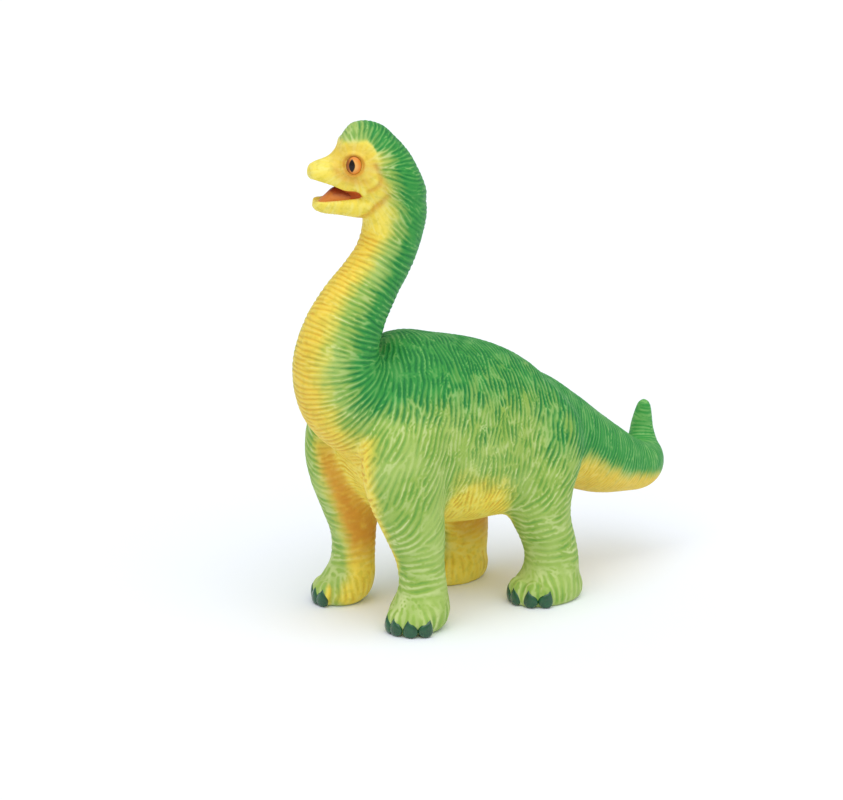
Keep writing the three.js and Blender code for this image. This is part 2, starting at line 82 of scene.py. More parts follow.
# Legs
HALF_TRACK = 22 * MM
FORE_STANCE = 28 * MM
FORE_LEG_HEIGHT = 94 * MM
FORE_GIRTH = 18.5 * MM
RIGHT_FORE_GIRTH = 17.5 * MM
FORE_STRIDE = 5 * MM
FORE_STRIDE_FADE = 6
HIND_STANCE = -31 * MM
HIND_LEG_HEIGHT = 88 * MM
HIP_HEIGHT = 66 * MM
HIND_GIRTH = 19 * MM
HIND_STRIDE = 15.2 * MM
HIND_STRIDE_FADE = 1
HIND_TUCK = 2.4 * MM

# Toes
TOE_SIZES = np.array((4, 3.6, 5)) * MM
TOE_RISE = 4.8 * MM
FORE_TOE_TURNS = (-12, 11, 41, 72)
HIND_TOE_TURNS = (-25, 0, 32, 59)
TOE_SEAT_SHARE = 0.77
CLAW_ROLLS = (8, 8, 10, -22)
CLAW_TILT = -3
NAIL_POINT = 1.2
NAIL_FULLNESS = 0.74
NAIL_BULGE = (0.5, 0.25)

# Head, in its own frame: forward, to the left, up
HEAD_PLACE = np.array((27.6, 0, 167)) * MM
HEAD_TURN = 26
SKULL_LENGTH = 44.8 * MM
SKULL_DEPTH = 35 * MM
SKULL_HALF_WIDTH = 12.3 * MM
SKULL_BACK = 15 * MM
LIP_LINE_SHARE = 0.257
JAW_LENGTH = 25 * MM
JAW_BACK = 3 * MM
JAW_DEPTH = 11 * MM
JAW_HALF_WIDTH = 9.5 * MM
JAW_DROP = 13.2 * MM
EYE_PLACE = np.array((13.8, 10.1, 10)) * MM
EYE_RADIUS = 3.35 * MM
EYE_SET_BACK = 0.75 * MM
HEAD_SEAM_SHARE = 0.755
HEAD_FLOOR = 130 * MM
HEAD_FADE = (-1 * MM, 5 * MM)
RELIEF_START = -3 * MM
JAW_REACH = 1.6 * MM
JAW_PARTING = 6 * MM
JAW_PARTING_SLANT = 0.55
MOUTH_HOLLOW = 1.2 * MM
MOUTH_REAR = (9 * MM, 12 * MM)
MOUTH_FRONT = (28.6 * MM, 26.5 * MM)
LIP_SHARE = 0.86
# Heights of the lining over which painted shade darkens it towards the roof and the back
LINING_LEVELS = (-5 * MM, -0.5 * MM)
LINING_SLOPE = 0.25
LINING_MIDDLE = 16 * MM
GAZE = (0.24, 0.06)
EYE_STRETCH = (0.9, 1.04)
PUPIL_FORWARD = 0.22
PUPIL_HALF_SIZES = (0.37, 0.72)

# Moulding: a rough body with its inner corners filled, then the fine skin round it
BODY_VOXEL = 1 * MM
BODY_FILL_ROUNDS = 60
SKIN_FILL_ROUNDS = 6
# How deep the fan behind each opening lies, against the opening's width
FAN_DEPTH = 0.1
HEAD_FAN_DEPTH = 0.3

# Folds: waves of two sizes on a share of the skin's points, each so wide and so long against its pitch
WAVE_SHARE = 0.04
WAVE_WIDTH = 0.62
WAVE_LENGTH = 1.5
WAVE_REACH = 2.1
WAVE_ROUNDS = 3
SHADE_WIDTH = 0.3
FINE_PITCH = 0.62
FINE_SHARE = 0.32
FINE_WANDER = 3
REST_LEVEL = 0.7
# Crease depth at which the crease colour, partly wash and partly painted shade, is full
FULL_DEPTH = 0.3 * MM
CLEAR_WAVES = (0.05, 0.75)
SHOULDER_LEAN = 62
GROIN_FORWARD = -4 * MM
GROIN_HEIGHT = 36 * MM
PLACE_SEED, WAVE_SEED, FINE_WAVE_SEED = 5, 7, 8
WANDER_SEED, FINE_WANDER_SEED, PITCH_SEED, DEPTH_SEED = 3, 4, 11, 21

# Stage
FLOOR_REACH = 3
LAMP_WAY = (0.3, 0.42, 1.1)
SENSOR_WIDTH = 36

# Outline tables, as shares of the sizes above; the first column is the place along the form.
# The trunk, skull, jaw and mouth have their top, bottom, half width and widest height, and the legs
# their middle forward and outward, half length and half width.
TORSO_SHARES = (
    (0, 0.57, 0.45, 0.16, 0.5),
    (0.012, 0.63, 0.41, 0.25, 0.5),
    (0.037, 0.75, 0.33, 0.45, 0.5),
    (0.093, 0.885, 0.21, 0.68, 0.47),
    (0.167, 0.988, 0.1, 0.84, 0.44),
    (0.26, 1.004, 0.045, 0.94, 0.43),
    (0.39, 0.962, 0.012, 1, 0.42),
    (0.52, 0.916, 0, 1, 0.4),
    (0.648, 0.85, 0.02, 0.97, 0.39),
    (0.76, 0.757, 0.055, 0.89, 0.38),
    (0.85, 0.645, 0.095, 0.76, 0.37),
    (0.926, 0.555, 0.15, 0.57, 0.36),
    (0.98, 0.5, 0.21, 0.4, 0.36),
    (1, 0.46, 0.25, 0.32, 0.35),
)
NECK_PATH_SHARES = (
    (0.1, 0), (0.77, 0.125), (1.01, 0.25), (0.91, 0.36), (0.65, 0.47), (0.28, 0.575), (-0.07, 0.68),
    (-0.25, 0.79), (-0.29, 0.9), (-0.23, 1),
)
NECK_RADIUS_SHARES = (
    (0, 1.2), (0.1, 1.2), (0.18, 1.17), (0.3, 1.02), (0.42, 0.93), (0.54, 0.815), (0.66, 0.715),
    (0.78, 0.72), (0.88, 0.77), (0.94, 0.69), (0.98, 0.56), (1, 0.4),
)
TAIL_PATH_SHARES = (
    (0, 0, 0), (0.1, 0, 0.05), (0.296, 0, 0.303), (0.45, 0, 0.545), (0.602, 0.02, 0.769),
    (0.756, 0.06, 0.941), (0.873, 0.16, 1.028), (0.95, 0.48, 1), (0.985, 0.84, 0.866), (1, 1, 0.634),
    (1.008, 1, 0.41), (1.01, 0.96, 0.228),
)
TAIL_RADIUS_SHARES = (
    (0, 0.86), (0.074, 0.94), (0.24, 0.82), (0.379, 0.715), (0.509, 0.62), (0.629, 0.49),
    (0.722, 0.405), (0.805, 0.315), (0.879, 0.22), (0.944, 0.16), (0.986, 0.1), (1, 0.02),
)
FORE_LEG_SHARES = (
    (0, 0.07, 0.016, 0.42, 0.4),
    (0.016, 0.07, 0.016, 0.55, 0.49),
    (0.043, 0.07, 0.01, 0.64, 0.56),
    (0.085, 0.04, 0.01, 0.65, 0.585),
    (0.128, -0.02, 0, 0.56, 0.55),
    (0.17, -0.06, 0, 0.49, 0.5),
    (0.28, -0.01, -0.03, 0.485, 0.52),
    (0.4, 0.12, -0.05, 0.64, 0.59),
    (0.53, 0.28, -0.08, 0.79, 0.65),
    (0.66, 0.31, -0.11, 0.94, 0.68),
    (0.81, 0.17, -0.17, 1.02, 0.64),
    (0.9, 0.05, -0.27, 0.84, 0.5),
    (0.96, 0, -0.34, 0.58, 0.34),
    (1, -0.05, -0.4, 0.06, 0.05),
)
HIND_LEG_SHARES = (
    (0, -0.045, 0.016, 0.73, 0.53),
    (0.017, -0.05, 0.016, 0.8, 0.58),
    (0.045, -0.055, 0.01, 0.83, 0.61),
    (0.085, -0.09, 0, 0.76, 0.6),
    (0.115, -0.14, 0, 0.63, 0.57),
    (0.165, -0.21, 0, 0.56, 0.54),
    (0.25, -0.15, -0.01, 0.555, 0.56),
    (0.386, 0.07, -0.05, 0.625, 0.62),
    (0.5, 0.09, -0.08, 0.715, 0.68),
    (0.636, -0.01, -0.13, 0.91, 0.71),
    (0.784, -0.05, -0.25, 0.93, 0.65),
    (0.886, 0, -0.42, 0.72, 0.48),
    (0.955, 0.05, -0.52, 0.48, 0.31),
    (1, 0.05, -0.58, 0.06, 0.05),
)
SKULL_SHARES = (
    (0, 0.2, 0.16, 0.03, 0.5),
    (0.022, 0.285, 0.1, 0.4, 0.48),
    (0.067, 0.42, 0.05, 0.69, 0.46),
    (0.133, 0.585, 0.014, 0.88, 0.44),
    (0.2, 0.7, 0, 0.96, 0.42),
    (0.267, 0.79, 0, 0.99, 0.4),
    (0.356, 0.9, 0.014, 1, 0.4),
    (0.467, 0.957, 0.071, 0.975, 0.4),
    (0.556, 0.963, 0.114, 0.93, 0.4),
    (0.644, 0.922, 0.143, 0.845, 0.4),
    (0.711, 0.8, 0.175, 0.765, 0.4),
    (0.767, 0.645, 0.23, 0.69, 0.41),
    (0.822, 0.595, 0.27, 0.6, 0.42),
    (0.911, 0.556, 0.322, 0.52, 0.42),
    (0.978, 0.51, 0.365, 0.375, 0.42),
    (1, 0.46, 0.4, 0.03, 0.42),
)
JAW_SHARES = (
    (0, 0.47, 0.43, 0.05, 0.5),
    (0.04, 0.727, 0.26, 0.5, 0.5),
    (0.14, 0.927, 0.15, 0.9, 0.6),
    (0.24, 1.03, 0.14, 0.98, 0.62),
    (0.36, 1.01, 0.165, 0.96, 0.66),
    (0.6, 0.94, 0.27, 0.84, 0.7),
    (0.84, 0.87, 0.35, 0.64, 0.7),
    (0.96, 0.85, 0.46, 0.44, 0.7),
    (1, 0.7, 0.56, 0.05, 0.66),
)
MOUTH_SHARES = (
    (0, 0.5, 0.45, 0.05, 0.5),
    (0.05, 0.72, 0.25, 0.6, 0.5),
    (0.2, 0.9, 0.08, 0.9, 0.5),
    (0.42, 1, 0, 1, 0.45),
    (0.6, 1, 0.04, 0.92, 0.4),
    (0.7, 0.93, 0.08, 0.84, 0.4),
    (0.81, 0.72, 0.12, 0.72, 0.4),
    (0.91, 0.53, 0.18, 0.56, 0.4),
    (0.975, 0.4, 0.22, 0.3, 0.4),
    (1, 0.33, 0.26, 0.05, 0.4),
)
# Half width and length of a nail, as shares, from its thick root to its crown
NAIL_SHARES = (
    (-1.3, 0.85), (-0.5, 1), (0, 1), (0.3, 0.95), (0.62, 0.8), (0.85, 0.55), (0.97, 0.28), (1, 0.05),
)

# Raised and sunk lines of the face: points forward and up, width and rise, all in millimetres
FACE_LINES = (
    (((18.6, 16.4), (17.2, 17.2), (14, 18), (8.7, 17.9), (6.6, 16.2), (5.4, 13.4), (5, 10)), 1.2, 0.75),
    (((22, 9.4), (24.5, 9.9), (27, 9.4), (28.4, 7.6)), 1.3, 0.45),
    (((9, 3.2), (13, 4.4), (17, 5.6), (20, 7.4)), 1.1, -0.35),
    (((29, 4.4), (25, 3), (20.9, 1.4), (17, -0.2), (13.3, -1.3), (10, -0.9), (8, 0.3)), 1.0, 0.5),
    (((8.2, 0.2), (6, 1.2), (4.4, 2.7), (4, 4.6), (4.6, 7.4), (5.8, 10)), 0.8, -0.7),
    (((2.4, 0), (2.2, 4), (2.8, 8.5)), 0.8, -0.4),
    (((11, -11.4), (8.5, -9.4), (6, -7), (3.2, -4.4), (1, -1.6)), 0.9, -0.7),
    (((28, -4.6), (24, -4.9), (18, -4.4), (13, -3.2), (9.5, -1.3)), 0.9, 0.4),
)
# Edge of the yellow: the brow's height at each place forward, and the cheek's edge at each height
BROW = np.array(((5.4, 14.2), (6.9, 16.8), (8.7, 18.4), (14, 18.4), (17.6, 17.5), (20, 14))) * MM
FACE_REAR = np.array(((-8, 1), (-4, 1.8), (0, 2.4), (4.2, 4), (9, 4.8), (14.2, 5.4), (18, 7))) * MM

# Places along a form, and what holds there: the height of the dark paint's edge on the trunk, how many
# degrees to each side of the throat the yellow reaches, and the pitch and depth of the tail's folds in mm
TRUNK_DARK_EDGE = ((0, 0.15, 0.4, 0.6, 0.75, 0.86, 1), (-0.05, -0.06, 0.4, 0.46, 0.15, -0.2, -0.3))
THROAT_YELLOW = ((0, 0.14, 0.3, 0.5, 0.75), (54, 44, 36, 37, 42))
TAIL_PITCH = ((0, 0.5, 1), (1.9, 1.7, 1.3))
TAIL_DEPTH = ((0, 0.4, 0.8, 1), (0.3, 0.28, 0.16, 0.06))
# How far round each leg its yellow reaches at the sole, foot, ankle and thigh: -1 inside, 1 outside
LEG_YELLOW_HEIGHTS = np.array((6, 14, 26, 60)) * MM
LEG_YELLOW = ((-0.9, -0.75, -0.3, 0.3), (-0.5, -0.45, -0.5, -0.45), (-0.95, -0.85, -0.6, -0.5),
              (-0.15, -0.1, -0.1, -0.3))

# The mouldings, each with its material slot
MOULDINGS = (
    ("torso_left_shell", "trunk_vinyl"), ("torso_right_shell", "trunk_vinyl"), ("neck", "neck_vinyl"),
    ("tail", "tail_vinyl"), ("front_left_leg", "leg_vinyl"), ("front_right_leg", "leg_vinyl"),
    ("hind_left_leg", "leg_vinyl"), ("hind_right_leg", "leg_vinyl"), ("head", "head_vinyl"),
    ("lower_jaw", "jaw_vinyl"),
)
HEAD_NUMBER, JAW_NUMBER = len(MOULDINGS) - 2, len(MOULDINGS) - 1


# Outlines and paths

def between(places, values, slopes, x):
    """Cubic through the values at their places, with the given slopes, read at x."""
    i = np.clip(np.searchsorted(places, x, side="right") - 1, 0, len(places) - 2)
    width = (places[i + 1] - places[i])[:, None]
    t = (x - places[i])[:, None] / width
    a, b, p, q = values[i], values[i + 1], slopes[i] * width, slopes[i + 1] * width
    return (2 * a - 2 * b + p + q) * t**3 + (3 * b - 3 * a - 2 * p - q) * t**2 + p * t + a


def read_table(rows, x):
    """Smooth values of a table's columns at each x, where the first column is x."""
    rows = np.array(rows, float)
    places, values = rows[:, 0], rows[:, 1:]
    x = np.clip(np.atleast_1d(x), places[0], places[-1])
    slopes = np.empty_like(values)
    slopes[1:-1] = (values[2:] - values[:-2]) / (places[2:] - places[:-2])[:, None]
    slopes[0] = (values[1] - values[0]) / (places[1] - places[0])
    slopes[-1] = (values[-1] - values[-2]) / (places[-1] - places[-2])
    return between(places, values, slopes, x)


def smooth_path(points, samples):
    """Points at even steps along a centripetal spline through the given points."""
    p = np.vstack((2 * points[0] - points[1], points, 2 * points[-1] - points[-2]))
    knots = np.concatenate(([0], np.cumsum(np.sqrt(np.linalg.norm(np.diff(p, axis=0), axis=1)))))
    step = np.diff(knots)[:, None]
    chord = np.diff(p, axis=0) / step
    slopes = chord[:-1] - (p[2:] - p[:-2]) / (step[:-1] + step[1:]) + chord[1:]
    fine = between(knots[1:-1], points, slopes, np.linspace(knots[1], knots[-2], 8 * samples))
    run = np.concatenate(([0], np.cumsum(np.linalg.norm(np.diff(fine, axis=0), axis=1))))
    even = np.linspace(0, run[-1], samples)
    return np.stack([np.interp(even, run, fine[:, axis]) for axis in range(3)], 1)


def unit(vectors):
    return vectors / np.maximum(np.linalg.norm(vectors, axis=-1, keepdims=True), 1e-12)


def dot(a, b):
    return np.sum(a * b, axis=-1)


def smooth_step(low, high, x):
    t = np.clip((x - low) / (high - low), 0, 1)
    return t * t * (3 - 2 * t)


class Limb:
    """A round limb along a path, with the direction of its back carried along it."""

    def __init__(self, path_points, radius_shares, radius, back, samples=160):
        self.shares = np.linspace(0, 1, samples)
        self.path = smooth_path(np.array(path_points), samples)
        self.radius = radius * read_table(radius_shares, self.shares)[:, 0]
        self.tangents = unit(np.gradient(self.path, axis=0))
        self.backs = np.empty_like(self.path)
        for i, tangent in enumerate(self.tangents):
            back = unit(back - tangent * (back @ tangent))
            self.backs[i] = back
        self.sides = np.cross(self.tangents, self.backs)

    def measure(self, points):
        """Place along the limb, distance outside it, and the share of the way to its back."""
        nearest = np.empty(len(points), int)
        square = np.sum(self.path**2, 1)
        batch = 50000
        for start in range(0, len(points), batch):
            part = points[start:start + batch]
            nearest[start:start + batch] = np.argmin(square - 2 * part @ self.path.T, 1)
        offset = points - self.path[nearest]
        offset -= self.tangents[nearest] * dot(offset, self.tangents[nearest])[:, None]
        reach = np.linalg.norm(offset, axis=1)
        back = dot(offset, self.backs[nearest]) / np.maximum(reach, 1e-9)
        beyond = np.abs(dot(points - self.path[nearest], self.tangents[nearest]))
        outside = reach - self.radius[nearest] + beyond
        return {"share": self.shares[nearest], "outside": outside, "back": back,
                "along": self.tangents[nearest]}


neck = Limb(
    [(NECK_BASE_FORWARD + NECK_SWING * forward, 0, NECK_BASE_HEIGHT + NECK_RISE * up)
     for forward, up in NECK_PATH_SHARES],
    NECK_RADIUS_SHARES, NECK_RADIUS, np.array((-1.0, 0, 0)))
tail = Limb(
    [(TAIL_ROOT_FORWARD - TAIL_REACH * back, -TAIL_HOOK * right, TAIL_ROOT_HEIGHT - TAIL_DROP * down)
     for back, right, down in TAIL_PATH_SHARES],
    TAIL_RADIUS_SHARES, TAIL_RADIUS, np.array((0, 0, 1.0)))


@dataclass
class Leg:
    """A leg of oval sections that stands on the floor. Side is 1 on the left and -1 on the right."""
    name: str
    shares: tuple
    side: int
    stance: float
    height: float
    girth: float
    stride: float
    fade: float
    tuck: float
    toe_turns: tuple

    def section(self, height):
        """Middle, half length and half width of the leg at each height."""
        share = np.clip(np.atleast_1d(height) / self.height, 0, 1)
        forward, outward, half_length, half_width = read_table(self.shares, share).T
        x = self.stance + self.stride * (1 - share) ** self.fade + self.girth * forward
        y = self.side * (HALF_TRACK - self.tuck * (1 - share) + self.girth * outward)
        return np.stack((x, y, self.height * share), 1), self.girth * half_length, self.girth * half_width

    def measure(self, points):
        """Distance outside the leg."""
        centre, half_length, half_width = self.section(points[:, 2])
        offset = (points - centre)[:, :2]
        ratio = np.hypot(offset[:, 0] / half_length, offset[:, 1] / half_width)
        reach = np.linalg.norm(offset, axis=1)
        above = np.maximum(points[:, 2] - self.height, 0)
        return {"outside": reach * (1 - 1 / np.maximum(ratio, 1e-6)) + above}


def fore_leg(name, side, girth, stride):
    return Leg(name, FORE_LEG_SHARES, side, FORE_STANCE, FORE_LEG_HEIGHT, girth, stride,
               FORE_STRIDE_FADE, 0, FORE_TOE_TURNS)


def hind_leg(name, side, stride, tuck):
    return Leg(name, HIND_LEG_SHARES, side, HIND_STANCE, HIND_LEG_HEIGHT, HIND_GIRTH, stride,
               HIND_STRIDE_FADE, tuck, HIND_TOE_TURNS)


LEGS = (
    fore_leg("front_left", 1, FORE_GIRTH, 0),
    fore_leg("front_right", -1, RIGHT_FORE_GIRTH, FORE_STRIDE),
    hind_leg("hind_left", 1, 0, 0),
    hind_leg("hind_right", -1, HIND_STRIDE, HIND_TUCK),
)


@dataclass
class LyingBody:
    """A rounded body along X, from a table of its top, bottom, half width and widest height."""
    shares: tuple
    start: float
    step: int
    length: float
    base: float
    depth: float
    half_width: float

    def share(self, points):
        return (points[:, 0] - self.start) * self.step / self.length

    def section(self, share):
        """Middle height, rise above it, drop below it and half width at each share."""
        top, bottom, half, widest = read_table(self.shares, share).T
        tall = self.depth * (top - bottom)
        middle = self.base + self.depth * bottom + tall * widest
        return middle, tall * (1 - widest), tall * widest, self.half_width * half

    def rings(self, sides, count):
        share = (1 - np.cos(np.linspace(0, math.pi, count))) / 2
        middle, rise, drop, half = (column[:, None] for column in self.section(share))
        angle = even_angles(sides)
        up = np.sin(angle)
        along = np.broadcast_to((self.start + self.step * self.length * share)[:, None], (count, sides))
        return np.stack((along, half * np.cos(angle), middle + np.where(up > 0, rise, drop) * up), -1)

    def measure(self, points):
        """Distance outside the body, place along it, and height in its section from -1 to 1."""
        share = self.share(points)
        middle, rise, drop, half = self.section(share)
        up = points[:, 2] - middle
        height = up / np.where(up > 0, rise, drop)
        ratio = np.hypot(points[:, 1] / half, height)
        reach = np.hypot(points[:, 1], up)
        beyond = self.length * np.maximum(np.maximum(-share, share - 1), 0)
        outside = reach * (1 - 1 / np.maximum(ratio, 1e-6)) + beyond
        return {"outside": outside, "share": share, "height": height}


TORSO = LyingBody(TORSO_SHARES, BREAST_FORWARD, -1, TORSO_LENGTH, BELLY_HEIGHT, TORSO_DEPTH,
                  TORSO_WIDTH / 2)
SKULL = LyingBody(SKULL_SHARES, -SKULL_BACK, 1, SKULL_LENGTH, -SKULL_DEPTH * LIP_LINE_SHARE,
                  SKULL_DEPTH, SKULL_HALF_WIDTH)
JAW = LyingBody(JAW_SHARES, JAW_BACK, 1, JAW_LENGTH, -JAW_DROP, JAW_DEPTH, JAW_HALF_WIDTH)

HEAD_AXES = np.array(Matrix.Rotation(math.radians(-HEAD_TURN), 3, "Z")).T


def to_head(points):
    """Forward, left and up of each point in the head's own frame."""
    return (points - HEAD_PLACE) @ HEAD_AXES.T


def from_head(points):
    return points @ HEAD_AXES + HEAD_PLACE


seam_index = int(np.argmin(np.abs(neck.shares - HEAD_SEAM_SHARE)))
HEAD_SEAM = neck.path[seam_index]
HEAD_SEAM_DIRECTION = neck.tangents[seam_index]


# Meshes

def linked(name, data):
    """A new object in the scene."""
    made = bpy.data.objects.new(name, data)
    bpy.context.scene.collection.objects.link(made)
    return made


def finished_mesh(base):
    """The mesh that an object's modifiers make, after which the object is removed."""
    mesh = bpy.data.meshes.new_from_object(base.evaluated_get(bpy.context.evaluated_depsgraph_get()))
    bpy.data.objects.remove(base)
    return mesh


def new_object(name, points, faces, attributes=(), corner_normals=None):
    """An object of points and faces, with a float attribute on its points for each name and values."""
    mesh = bpy.data.meshes.new(name)
    sizes = np.array([len(part[0]) for part in faces for _ in range(len(part))], np.int32)
    corners = np.concatenate([part.ravel() for part in faces]).astype(np.int32)
    mesh.vertices.add(len(points))
    mesh.vertices.foreach_set("co", points.astype(np.float32).ravel())
    mesh.loops.add(len(corners))
    mesh.loops.foreach_set("vertex_index", corners)
    mesh.polygons.add(len(sizes))
    mesh.polygons.foreach_set("loop_start", np.cumsum(sizes, dtype=np.int32) - sizes)
    mesh.update(calc_edges=True)
    mesh.validate()
    mesh.shade_smooth()
    for label, values in attributes:
        mesh.attributes.new(label, "FLOAT", "POINT").data.foreach_set("value", values.astype(np.float32))
    if corner_normals is not None:
        mesh.normals_split_custom_set(corner_normals.tolist())
    return linked(name, mesh)


def loft(rings):
    """Points and faces of a closed skin over rings, with its faces turned out."""
    count, sides = rings.shape[:2]
    points = np.vstack((rings.reshape(-1, 3), rings[0].mean(0), rings[-1].mean(0)))
    side = np.arange(sides)
    after = (side + 1) % sides
    start = np.arange(count - 1)[:, None] * sides
    quads = np.stack((start + side, start + after, start + sides + after, start + sides + side), -1)
    quads = quads.reshape(-1, 4)
    top = (count - 1) * sides
    fans = np.vstack((np.stack((np.full(sides, count * sides), after, side), 1),
                      np.stack((np.full(sides, count * sides + 1), top + side, top + after), 1)))
    a, b, c, d = np.moveaxis(points[quads], 1, 0)
    if np.sum(dot(a, np.cross(b, c)) + dot(a, np.cross(c, d))) < 0:
        quads, fans = quads[:, ::-1], fans[:, ::-1]
    return points, (quads, fans)


def gathered(name, parts):
    """One object of several closed skins that may overlap."""
    faces, shift = [], 0
    for points, part_faces in parts:
        faces += [polygons + shift for polygons in part_faces]
        shift += len(points)
    return new_object(name, np.vstack([points for points, _ in parts]), faces)


def even_angles(sides):
    return np.arange(sides) * 2 * math.pi / sides


def leg_rings(leg, sides, count):
    height = leg.height * (1 - np.cos(np.linspace(0, math.pi, count))) / 2
    centre, half_length, half_width = leg.section(height)
    angle = even_angles(sides)
    x = centre[:, :1] + half_length[:, None] * np.cos(angle)
    y = centre[:, 1:2] + half_width[:, None] * np.sin(angle)
    return np.stack((x, y, np.broadcast_to(centre[:, 2:], x.shape)), -1)


def foot_place(leg, height, outward_share, turn):
    """A point on the foot's outline, and the way out from there."""
    angle = leg.side * math.radians(turn)
    centre, half_length, half_width = leg.section(height)
    out = np.array((half_length[0] * math.cos(angle), half_width[0] * math.sin(angle), 0))
    return centre[0] + outward_share * out, angle


def ball_rings(centre, half_sizes, turn, sides=24, count=15):
    """Rings of a rounded lump, turned about Z."""
    height = -np.cos(np.linspace(0.02, math.pi - 0.02, count))
    spread = np.sqrt(1 - height**2)
    angle = even_angles(sides)
    local = np.stack((half_sizes[0] * spread[:, None] * np.cos(angle),
                      half_sizes[1] * spread[:, None] * np.sin(angle),
                      np.broadcast_to(half_sizes[2] * height[:, None], (count, sides))), -1)
    return local @ np.array(Matrix.Rotation(turn, 3, "Z")).T + centre


# Node trees

class Tree:
    """Short ways to add and join the nodes of a tree, whose kind begins their names."""

    def __init__(self, tree, kind="ShaderNode"):
        self.tree = tree
        self.kind = kind

    def add(self, name, inputs=(), **settings):
        node = self.tree.nodes.new(self.kind + name)
        for setting, value in settings.items():
            setattr(node, setting, value)
        for socket, value in dict(inputs).items():
            self.give(node.inputs[socket], value)
        return node

    def give(self, socket, value):
        if isinstance(value, bpy.types.NodeSocket):
            self.tree.links.new(value, socket)
        else:
            socket.default_value = value

    def maths(self, operation, *values):
        return self.add("Math", enumerate(values), operation=operation).outputs[0]

    def total(self, *values):
        total = values[0]
        for value in values[1:]:
            total = self.maths("ADD", total, value)
        return total

    def ramp(self, value, low, high):
        limits = {"Value": value, "From Min": low, "From Max": high}
        return self.add("MapRange", limits, interpolation_type="SMOOTHSTEP").outputs["Result"]

    def mix(self, share, a, b):
        return self.add("Mix", {0: share, 6: a, 7: b}, data_type="RGBA").outputs[2]

    def group(self, tree, **inputs):
        return self.add("Group", inputs, node_tree=tree).outputs[0]

    def attribute(self, name):
        return self.add("Attribute", attribute_name=name).outputs["Fac"]

    def noise(self, scale, detail=2.0):
        place = self.add("TexCoord").outputs["Object"]
        return self.add("TexNoise", {"Vector": place, "Scale": scale, "Detail": detail}).outputs["Fac"]

    def finish(self, shape, material, result):
        """Give the result real geometry with its material."""
        real = self.add("RealizeInstances", {"Geometry": shape}).outputs["Geometry"]
        named = self.add("SetMaterial", {"Geometry": real, "Material": material})
        self.give(result, named.outputs["Geometry"])


def new_group(kind, name, inputs, output):
    """A node group's tree, its given values and the socket of its result."""
    made = bpy.data.node_groups.new(name, kind + "NodeTree")
    for label, socket_kind, *default in inputs:
        socket = made.interface.new_socket(label, in_out="INPUT", socket_type="NodeSocket" + socket_kind)
        if default:
            socket.default_value = default[0]
    made.interface.new_socket(output[0], in_out="OUTPUT", socket_type="NodeSocket" + output[1])
    given = made.nodes.new("NodeGroupInput").outputs
    return Tree(made, kind + "Node"), given, made.nodes.new("NodeGroupOutput").inputs[0]


def limb_tree():
    """Node tree that sweeps a round skin along a line of points, as wide as their reach attribute."""
    tree, given, result = new_group("Geometry", "round_limb", (
        ("Line", "Geometry"), ("Sides", "Int"), ("Finish", "Material")), ("Limb", "Geometry"))
    curve = tree.add("MeshToCurve", {"Mesh": given["Line"]})
    reach = tree.add("InputNamedAttribute", {"Name": "reach"}, data_type="FLOAT")
    section = tree.add("CurvePrimitiveCircle", {"Radius": 1.0, "Resolution": given["Sides"]})
    swept = tree.add("CurveToMesh", {
        "Curve": curve.outputs["Curve"], "Profile Curve": section.outputs["Curve"],
        "Scale": reach.outputs["Attribute"], "Fill Caps": True})
    tree.finish(swept.outputs["Mesh"], given["Finish"], result)
    return tree.tree


def grown(base, tree, inputs):
    """The mesh that a node tree makes of a base object, which is then removed."""
    modifier = base.modifiers.new(tree.name, "NODES")
    modifier.node_group = tree
    for item in tree.interface.items_tree:
        if item.name in inputs:
            modifier[item.identifier] = inputs[item.name]
    return finished_mesh(base)


# The skin

def read_mesh(mesh):
    """Points and faces of a mesh, as one array for each number of corners."""
    points = np.empty(len(mesh.vertices) * 3, np.float32)
    mesh.vertices.foreach_get("co", points)
    corners = np.empty(len(mesh.loops), np.int32)
    mesh.loops.foreach_get("vertex_index", corners)
    sizes = np.empty(len(mesh.polygons), np.int32)
    mesh.polygons.foreach_get("loop_total", sizes)
    starts = np.cumsum(sizes) - sizes
    faces = [corners[starts[sizes == size][:, None] + np.arange(size)] for size in np.unique(sizes)]
    return points.reshape(-1, 3).astype(float), faces


def swept_limb(limb, tree, sides):
    """Skin of the neck or tail."""
    count = len(limb.path)
    mesh = bpy.data.meshes.new("limb_line")
    mesh.from_pydata(limb.path.tolist(), [(i, i + 1) for i in range(count - 1)], [])
    mesh.attributes.new("reach", "FLOAT", "POINT").data.foreach_set("value", limb.radius)
    return read_mesh(grown(linked("limb_line", mesh), tree, {"Sides": sides}))


def remeshed(base, voxel):
    """Points and quads of one closed skin round everything in an object, which is then removed."""
    modifier = base.modifiers.new("one_skin", "REMESH")
    modifier.mode = "VOXEL"
    modifier.voxel_size = voxel
    points, (quads,) = read_mesh(finished_mesh(base))
    return points, quads


def face_edges(quads):
    """Both ends of each edge of the quads, in the order of their corners."""
    return np.stack((quads, np.roll(quads, -1, 1)), -1).reshape(-1, 2)


def edge_keys(ends, count):
    """One number for each edge from its first end to its second."""
    return ends[:, 0].astype(np.int64) * count + ends[:, 1]


def joined_groups(count, first, second):
    """The least number of each group that the pairs join up, for every number below count."""
    group = np.arange(count)
    while True:
        least = group.copy()
        np.minimum.at(least, first, group[second])
        np.minimum.at(least, second, group[first])
        least = least[least]
        if np.array_equal(least, group):
            return group
        group = least


